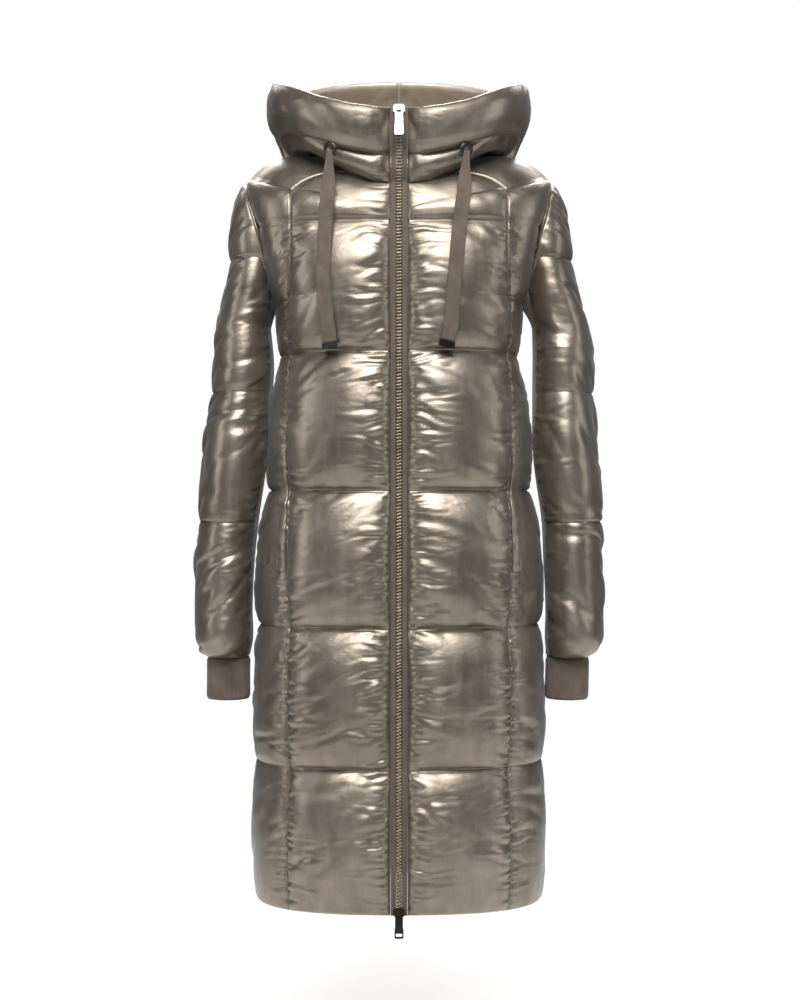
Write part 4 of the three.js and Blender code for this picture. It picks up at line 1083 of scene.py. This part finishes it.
# --- the knitted cuffs
def build_cuffs():
    ribs, rows = 62, 14
    turn = np.linspace(0, 2 * math.pi, ribs * 4, endpoint=False)[None, :]
    for side in ("left", "right"):
        z = np.linspace(CUFF["bottomZ"], CUFF["topZ"], rows)[:, None]
        up = (z - CUFF["bottomZ"]) / (CUFF["topZ"] - CUFF["bottomZ"])
        uneven = wavy(410 if side == "left" else 411)
        rib = 0.5 + 0.5 * np.cos(turn * ribs + 0.25 * uneven(z, 60))
        edge = np.minimum(quarter_round(up / 0.05), quarter_round((1 - up) / 0.05))
        slack = 0.7 * uneven(turn * 60 + z, 90)
        out = CLOTH_HALF * (0.3 + 0.7 * edge) + 1.1 * (rib - 0.5) * edge + slack

        def ring(extra):
            middle = CUFF["x"] + (CUFF["leftOut"] if side == "left" else 0)
            x = middle + (CUFF["wide"] + extra) * np.cos(turn)
            y = CUFF["y"] - (CUFF["deep"] + extra) * np.sin(turn)
            points = np.stack(np.broadcast_arrays(x, y, z), axis=-1)
            return points if side == "left" else points * MIRROR

        piece = wall(f"cuff_{side}_ribbed", ring(out), ring(slack - CLOTH_HALF), ring=True)
        dress(piece, RIB, slot="rib")
        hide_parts(f"cuff_{side}")


build_cuffs()


# --- what repeats along a path
def along_path_tree(name, beads):
    """Sets small pieces along a line, turned to follow it and to face out of the cloth."""
    tree = bpy.data.node_groups.new(name, "GeometryNodeTree")
    sizes = {"Spacing": 0.004, "Length": 0.003, "Width": 0.001, "Height": 0.001, "Unevenness": 0.1}
    kinds = {"Path": "Geometry", **dict.fromkeys(sizes, "Float")}
    kinds.update(Seed="Int", Material="Material")
    for title, kind in kinds.items():
        socket = tree.interface.new_socket(title, in_out="INPUT", socket_type="NodeSocket" + kind)
        if title in sizes:
            socket.default_value = sizes[title]
    tree.interface.new_socket("Pieces", in_out="OUTPUT", socket_type="NodeSocketGeometry")
    given = add(tree, "NodeGroupInput").outputs

    def got(kind, inputs=(), **settings):
        return add(tree, kind, inputs, **settings).outputs[0]

    line = got("GeometryNodeMeshToCurve", {"Mesh": given["Path"]})
    spaced = {"Curve": line, "Length": given["Spacing"]}
    points = got("GeometryNodeResampleCurve", spaced, mode="LENGTH")
    if beads:
        shape = got("GeometryNodeMeshIcoSphere", {"Radius": 0.5, "Subdivisions": 1})
    else:
        block = got("GeometryNodeMeshCube", {"Size": (1, 1, 1)})
        rounded = {"Mesh": block, "Level": 1, "Edge Crease": 0.5}
        shape = got("GeometryNodeSubdivisionSurface", rounded)
    out = got("GeometryNodeInputNamedAttribute", {"Name": "out"}, data_type="FLOAT_VECTOR")
    turned = got(
        "FunctionNodeAxesToRotation",
        {"Primary Axis": out, "Secondary Axis": got("GeometryNodeInputTangent")},
        primary_axis="Z", secondary_axis="X",
    )
    chance = add(tree, "FunctionNodeRandomValue", {"Seed": given["Seed"]}, data_type="FLOAT")
    tree.links.new(sums(tree, "SUBTRACT", 1.0, given["Unevenness"]), chance.inputs[2])
    tree.links.new(sums(tree, "ADD", 1.0, given["Unevenness"]), chance.inputs[3])
    own = sums(tree, "MULTIPLY", given["Length"], chance.outputs[1])
    size = got("ShaderNodeCombineXYZ", {0: own, 1: given["Width"], 2: given["Height"]})
    placing = {"Points": points, "Instance": shape, "Rotation": turned, "Scale": size}
    copies = got("GeometryNodeInstanceOnPoints", placing)
    real = got("GeometryNodeRealizeInstances", {"Geometry": copies})
    smoothed = got("GeometryNodeSetShadeSmooth", {"Geometry": real})
    dressed = {"Geometry": smoothed, "Material": given["Material"]}
    add(tree, "NodeGroupOutput", {"Pieces": got("GeometryNodeSetMaterial", dressed)})
    return tree


def along_paths(name, tree, paths, material, slot, **sizes):
    """Runs a tree over lines, each a list of points and outward directions in millimetres."""
    points, edges, outs = [], [], []
    for line, out in paths:
        first = len(points)
        points += [tuple(p) for p in line * MM]
        outs += [tuple(o) for o in out]
        edges += [(first + i, first + i + 1) for i in range(len(line) - 1)]
    mesh = bpy.data.meshes.new(name + "_lines")
    mesh.from_pydata(points, edges, [])
    store = mesh.attributes.new("out", "FLOAT_VECTOR", "POINT")
    store.data.foreach_set("vector", np.array(outs, float).ravel())
    guide = put(name + "_lines", mesh)
    modifier = guide.modifiers.new("pieces", "NODES")
    modifier.node_group = tree
    given = [item for item in tree.interface.items_tree if item.in_out == "INPUT"]
    sockets = {item.name: item.identifier for item in given}
    for title, value in {**sizes, "Material": material}.items():
        modifier[sockets[title]] = value
    seen = guide.evaluated_get(bpy.context.evaluated_depsgraph_get())
    made = bpy.data.meshes.new_from_object(seen)
    bpy.data.objects.remove(guide)
    made.name = name
    return dress(put(name, made), material, slot=slot)


BEADS = along_path_tree("pieces_along_a_seam", True)
BLOCKS = along_path_tree("teeth_along_the_zip", False)


# --- the front zip
def centre_front(steps=260):
    """The centre front from the hem to the hood's edge, and its outward directions."""
    share = np.linspace(0, 1, steps)
    on_body = share <= ZIP_ON_BODY
    level = share[on_body] / ZIP_ON_BODY * NECK_LEVEL
    y = from_table(BODY_ROWS, "level", level, "frontY")
    z = from_table(BODY_ROWS, "level", level, "z")
    body = np.stack([0 * y, y, z], axis=1)
    at = (share[~on_body] - ZIP_ON_BODY) / (1 - ZIP_ON_BODY)
    points = np.concatenate([body, hood_points(0 * at, at)])
    slopes = unit(np.cross(RIGHT, np.gradient(points, axis=0)))
    return points, slopes


def build_zip():
    middle, out = centre_front()
    across = np.tile(RIGHT, (len(middle), 1))

    def strip(name, node, centre, half, thick, columns):
        """A strip of the zip's cloth. Its flat width is the least that a sheet may have."""
        piece = make_band(name, centre, across, out, half, thick, columns)
        dress(piece, ZIP_CLOTH, slot="tape")
        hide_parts(node)

    inside = ZIP_CHAIN_HALF + SEAM_GAP
    half = (ZIP_TAPE_HALF - inside) / 2
    for side, sign in SIDES:
        centre = middle + RIGHT * sign * (inside + half) + out * (ZIP_OFF + ZIP_TAPE_THICK / 2)
        node = f"zip_tape_{side}"
        strip(node + "_woven", node, centre, half, ZIP_TAPE_THICK, 8)
    bed = middle + out * (ZIP_OFF + ZIP_BED_THICK / 2)
    strip("zip_bed", "zip_teeth", bed, ZIP_CHAIN_HALF, ZIP_BED_THICK, 6)
    fine = curve_through(middle, 900)[0]
    fine_out = unit(np.cross(RIGHT, np.gradient(fine, axis=0)))
    rows = []
    for sign, first in ((1, 3), (-1, 5)):
        line = fine + RIGHT * sign * TEETH_X + fine_out * (ZIP_OFF + 1.55)
        rows.append((line[first:], fine_out[first:]))
    teeth = along_paths(
        "zip_teeth_row", BLOCKS, rows, BRONZE, "teeth",
        Spacing=0.0044, Length=0.0029, Width=0.0052, Height=0.0028, Unevenness=0.0, Seed=3,
    )
    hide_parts("zip_teeth")


build_zip()


# --- pockets
def level_at(z):
    low, high = 0.0, float(NECK_LEVEL)
    for _ in range(30):
        middle = (low + high) / 2
        if body_z(middle) < z:
            low = middle
        else:
            high = middle
    return low


def surface_tree(name):
    rows, columns = PANELS[name].shape[:2]
    points = [Vector(p) for p in PANELS[name].reshape(-1, 3)]
    return BVHTree.FromPolygons(points, grid_faces(rows, columns).tolist())


def build_welts():
    """The two pocket welts: folded bands laid on the side panels, beside the front seams."""
    steps, columns = 90, 14
    side = np.linspace(0, 1, columns + 1)
    for name, sign in SIDES:
        skin = surface_tree(f"side_front_{name}")
        outer, inner, out = [], [], []
        for i in range(steps + 1):
            level = level_at(mix(WELT["bottomZ"], WELT["topZ"], i / steps))
            start = body_reach(level, False, seam_x(level, False)) + WELT["from"]
            row = body_points(level, False, start + WELT["wide"] * side) * (sign, 1, 1)
            below = body_points(level - 0.01, False, start + WELT["wide"] * side) * (sign, 1, 1)
            normal = unit(np.cross(np.gradient(row, axis=0), row - below) * sign)
            outer.append(row)
            out.append(normal)
        outer, out = np.array(outer), np.array(out)
        seat = np.zeros(outer.shape[:2])
        for index in np.ndindex(seat.shape):
            start = Vector(outer[index] + out[index] * WELL_OUT)
            hit = skin.ray_cast(start, Vector(-out[index]))
            seat[index] = WELL_OUT - hit[3] if hit[3] else 0
        rest = seat.copy()
        for _ in range(10):
            edged = np.pad(rest, 1, mode="edge")
            around = edged[:-2, 1:-1] + edged[2:, 1:-1] + edged[1:-1, :-2] + edged[1:-1, 2:]
            rest = np.maximum(seat, around / 4)
        ends = np.linspace(0, 1, steps + 1)
        rounding = quarter_round(np.minimum(side, 1 - side) / 0.14)[None, :]
        rounding = rounding * quarter_round(np.minimum(ends, 1 - ends) / 0.012)[:, None]
        uneven = patches(500 if sign > 0 else 501)
        wave = 0.5 * uneven(ends[:, None] * 14, side[None, :] * 0.7)
        stitched = 0.5 * np.exp(-(((side - 0.8) / 0.07) ** 2))[None, :]
        thick = WELT["thick"] * (0.5 + 0.5 * rounding) + wave * rounding - stitched
        low = outer + out * (rest + SEAM_GAP)[..., None]
        high = outer + out * (rest + SEAM_GAP + np.maximum(thick, 0.5))[..., None]
        piece = wall(f"pocket_welt_{name}_cloth", high, low)
        dress(piece, SHELL)
        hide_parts(f"pocket_welt_{name}")
        PANELS[f"pocket_welt_{name}"] = high


def build_puller():
    """A short folded tape that hangs at the foot of the right-hand pocket."""
    low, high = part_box("pocket_puller")
    middle = np.array((low + high) / 2) / MM
    skin = surface_tree("side_front_right")
    cast = lambda x, z: np.array(skin.ray_cast(Vector((x, WELL_IN_FRONT, z)), Vector((0, 1, 0)))[0])
    top, bottom = (cast(PULLER["x"], z) for z in (PULLER["topZ"], PULLER["bottomZ"]))
    beside = cast(PULLER["x"] + 6, middle[2])
    up = unit(top - bottom)
    out = unit(np.cross(up, beside - (top + bottom) / 2))
    out = out if out[1] < 0 else -out
    across = unit(np.cross(up, out))
    share = np.linspace(0, 1, 40)
    route = middle + np.outer(share - 0.5, up * (PULLER["topZ"] - PULLER["bottomZ"]) * 0.97)
    route += out * (0.5 * np.sin(share * math.pi))[:, None]
    half = PULLER["wide"] / 2 * mix(0.78, 1, quarter_round(np.minimum(share, 1 - share) / 0.08))
    across, out = (np.tile(way, (len(route), 1)) for way in (across, out))
    piece = make_band("pocket_puller_tape", route, across, out, half, PULLER["thick"])
    dress(piece, DARK_BAND, slot="black")
    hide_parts("pocket_puller")


build_welts()
build_puller()


# --- sewing
def sew():
    """Stitches in the quilting lines, beside the long seams and along the zip."""
    lines = []

    def run(name, pick, lift=0.25):
        out = OUTWARD[name][pick]
        lines.append((PANELS[name][pick] + out * lift, out))

    for name, rows in LINES.items():
        for row in rows:
            run(name, (row, slice(None)))
        if name.startswith(("front", "side", "hood")):
            run(name, (slice(4, -4), 1 if name.startswith("side") else -2))
    for name in ("hood_left", "hood_right"):
        run(name, (-4, slice(2, -2)))
        run(name, (slice(4, -4), 1))
    middle, out = centre_front()
    for sign in (1, -1):
        on_tape = middle + RIGHT * ZIP_STITCH_X * sign + out * (ZIP_OFF + ZIP_TAPE_THICK)
        lines.append((on_tape, out))
    along_paths(
        "seam_stitches", BEADS, lines, THREAD, "tape",
        Spacing=0.0042, Length=0.0031, Width=0.0008, Height=0.0007, Unevenness=0.15, Seed=7,
    )


sew()


def armhole_rolls():
    """The narrow roll that the sleeve's turned-in edge makes round each armhole."""
    around = np.linspace(-math.pi, math.pi, 120, endpoint=False)
    middle = np.array([armhole_point(turn) for turn in around])
    middle[:, 0] += mix(2.2, 1.6, (1 + np.cos(around)) / 2)
    along = unit(np.roll(middle, -1, axis=0) - np.roll(middle, 1, axis=0))
    aside = unit(np.cross(along, RIGHT))
    third = np.cross(along, aside)
    section = np.linspace(0, 2 * math.pi, 10, endpoint=False)
    for side, sign in SIDES:
        uneven = patches(600 + sign)(around[:, None] * 14, section[None, :] * 0.4)
        radius = 2.1 + 0.25 * uneven
        cos, sin = (wave(section)[None, :, None] for wave in (np.cos, np.sin))
        tube = middle[:, None] + radius[..., None] * (cos * aside[:, None] + sin * third[:, None])
        tube = tube * (sign, 1, 1)
        closed = np.concatenate([tube, tube[:1]])
        rows, columns = closed.shape[:2]
        faces = grid_faces(rows, columns, ring=True) % (len(tube) * columns)
        points = tube.reshape(-1, 3)
        flip = signed_volume(points, faces) < 0
        dress(make_mesh(f"armhole_roll_{side}", points, faces, flip), SHELL)


armhole_rolls()


# --- metal parts, which keep their solids
def finish_metal():
    finishes = {
        "top_slider": SILVER, "top_pull": SILVER, "tape_tip_right": GUNMETAL,
        "tape_tip_left": BLACK, "eyelet_left": GUNMETAL, "eyelet_right": GUNMETAL,
        "bottom_slider": BLACK, "bottom_pull": BLACK,
    }
    for name, material in finishes.items():
        for place in nodes[name].material_slots:
            place.material = material


finish_metal()


# --- stage and light
def make_stage():
    """A wide pale floor below the hanging coat."""
    turn = np.linspace(0, 2 * math.pi, 64, endpoint=False)
    rings = np.array([0.01, 0.5, 1, 1.5, 2, 2.4])
    grid = np.stack([np.outer(rings, np.cos(turn)), np.outer(rings, np.sin(turn)),
                     np.full((len(rings), len(turn)), FLOOR_Z)], axis=-1) / MM
    piece = make_mesh("floor", grid.reshape(-1, 3), grid_faces(len(rings), len(turn), ring=True))
    material, tree, place = start_material("pale_floor")
    shader = tree.nodes["Principled BSDF"]
    tone = ramp(tree, noise(tree, place, 6, 3), colour(232, 231, 229), colour(238, 237, 236))
    tree.links.new(tone, shader.inputs["Base Color"])
    shader.inputs["Roughness"].default_value = 0.95
    piece.data.materials.append(material)


def lamp(name, place, target, size, power_watts):
    light = bpy.data.lights.new(name, "AREA")
    light.shape = "RECTANGLE"
    light.size, light.size_y = size
    light.energy = power_watts
    holder = put(name, light)
    holder.location = place
    holder.rotation_euler = (Vector(target) - Vector(place)).to_track_quat("-Z", "Y").to_euler()


def make_light():
    lamp("front_above", (0, -2.4, 1.7), (0, 0, -0.45), (1.9, 0.9), 124)
    lamp("front_low", (0, -3.6, 0.5), (0, 0, -0.5), (1.0, 0.5), 9)
    lamp("overhead", (0, -1.2, 2.3), (0, 0, -0.3), (1.4, 0.6), 22)
    lamp("left_side", (-2.3, -0.9, 0.1), (0, 0, -0.5), (0.4, 1.7), 12)
    lamp("right_side", (2.3, -0.7, 0.1), (0, 0, -0.5), (0.4, 1.7), 10)
    lamp("back_above", (0, 2.4, 1.7), (0, 0, -0.45), (1.8, 0.8), 70)
    lamp("far_floor", (0, 1.7, 1.5), (0, 1.7, FLOOR_Z), (3.4, 1.0), 62)
    world = bpy.data.worlds.new("studio")
    world.use_nodes = True
    tree = world.node_tree
    around = tree.nodes["Background"]
    around.inputs["Color"].default_value = (0.95, 0.96, 1, 1)
    around.inputs["Strength"].default_value = 0.05
    behind = add(tree, "ShaderNodeBackground", {"Color": (1, 1, 1, 1), "Strength": 1.0})
    seen = add(tree, "ShaderNodeLightPath").outputs["Is Camera Ray"]
    both = add(tree, "ShaderNodeMixShader", {0: seen, 1: around.outputs[0], 2: behind.outputs[0]})
    tree.links.new(both.outputs[0], tree.nodes["World Output"].inputs["Surface"])
    bpy.context.scene.world = world
    bpy.context.scene.view_settings.view_transform = "Standard"


make_stage()
make_light()
